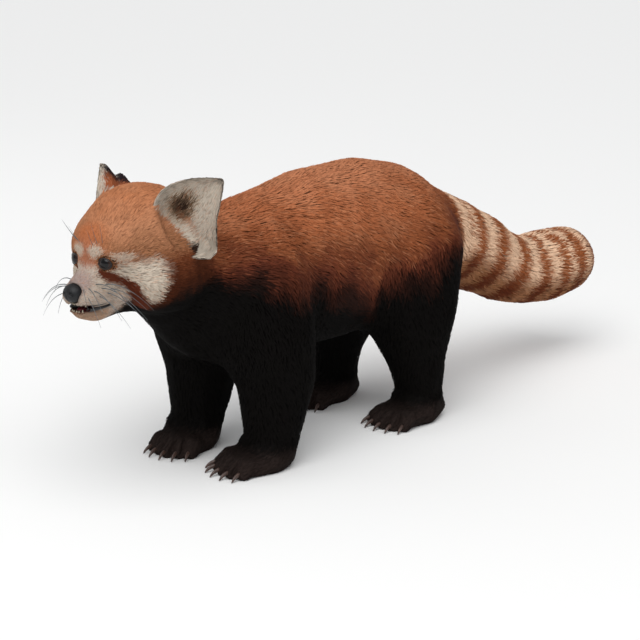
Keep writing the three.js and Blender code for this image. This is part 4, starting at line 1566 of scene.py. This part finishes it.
def tooth_row(name, teeth, gum_at, direction):
    """A row of small cones, each blunt at its tip, that stand on one gum. direction is -1 for down."""
    row = bmesh.new()
    for side in (1, -1):
        for across_mm, back_mm, height, thick in teeth:
            middle_height = gum_at(back_mm) + direction * (height - TOOTH_ROOT) / 2
            middle = [side * across_mm, back_mm, middle_height]
            placed = axes_matrix(middle, [1, 0, 0], [0, direction, 0], [0, 0, direction])
            bmesh.ops.create_cone(
                row,
                cap_ends=True,
                segments=10,
                radius1=thick * MM,
                radius2=TOOTH_TIP_SHARE * thick * MM,
                depth=(height + TOOTH_ROOT) * MM,
                matrix=placed,
            )
    finished_piece(name, row, enamel)


tooth_row("upper_teeth", UPPER_TEETH, upper_gum, -1.0)
tooth_row("lower_teeth", LOWER_TEETH, lower_gum, 1.0)
print("teeth:", 2 * (len(UPPER_TEETH) + len(LOWER_TEETH)))

# %% [markdown]
# ## Whiskers
#
# Long stiff hairs grow in rows on the muzzle, a few over the eyes. Each is a thin tube that tapers to
# nothing and bends backward and down under its own weight. They are drawn a little thicker than the real
# ones, which would be finer than a pixel.

# %% Grow the whiskers
WHISKER_ROOT_RADIUS = 0.5
WHISKER_TIP_RADIUS = 0.1
WHISKER_STEPS = 9
WHISKER_SCALE = 0.85
FULL_LENGTH = 36
SAG_WAY = np.array([0, 0.25, -0.95])
BRISTLE_SHADES = [(0.0, "#34383A"), (1.0, "#6C7376")]
# root on the head in millimetres, way it sets out, length, and how far it droops
WHISKERS = [
    ((14, -72, -18), (0.95, 0.05, 0.25), 46, 30), ((15, -69, -21), (0.92, 0.3, 0.1), 46, 34),
    ((14, -74, -22), (0.95, -0.15, 0.05), 40, 26), ((16, -66, -19), (0.85, 0.5, 0.2), 46, 34),
    ((15, -71, -25), (0.9, 0.1, -0.2), 36, 22), ((16, -65, -24), (0.8, 0.5, -0.15), 38, 26),
    ((13, -77, -20), (0.85, -0.45, 0.15), 36, 24), ((12, -78, -25), (0.8, -0.4, -0.2), 30, 18),
    ((16, -62, -22), (0.8, 0.6, 0.0), 34, 22), ((11, -80, -21), (0.7, -0.65, 0.2), 30, 18),
    ((13, -60, 15), (0.35, -0.55, 0.75), 22, -6), ((17, -58, 15), (0.45, -0.45, 0.75), 20, -6),
    ((10, -62, 14), (0.2, -0.6, 0.8), 18, -5),
]
whisker_hair = flecked_material("whisker bristle", 6, BRISTLE_SHADES, 0.4, 1.55)
whiskers = bmesh.new()
for side in (1, -1):
    mirror = np.array([side, 1, 1])
    for root, way, whisker_length, droop in WHISKERS:
        root = np.array(root) * mirror
        way = np.array(way) * mirror
        outer = Vector(from_head(root + way * 12))
        inner = Vector(from_head(root * [0.3, 0.9, 0.9]))
        hit = skin_tree.ray_cast(outer, (inner - outer).normalized())[0]
        start = root if hit is None else to_head(hit)
        way = way / np.linalg.norm(way)
        path, radii = [], []
        for step in np.linspace(-0.03, 1, WHISKER_STEPS):
            sag = SAG_WAY * droop * step * abs(step)
            path.append(from_head(start + way * WHISKER_SCALE * whisker_length * step + sag))
            taper = WHISKER_ROOT_RADIUS + (WHISKER_TIP_RADIUS - WHISKER_ROOT_RADIUS) * max(step, 0)
            radii.append(taper * min(1, whisker_length / FULL_LENGTH) * MM)
        tube(whiskers, path, radii, sides=6)
finished_piece("whiskers", whiskers, whisker_hair)
print("whiskers:", 2 * len(WHISKERS))
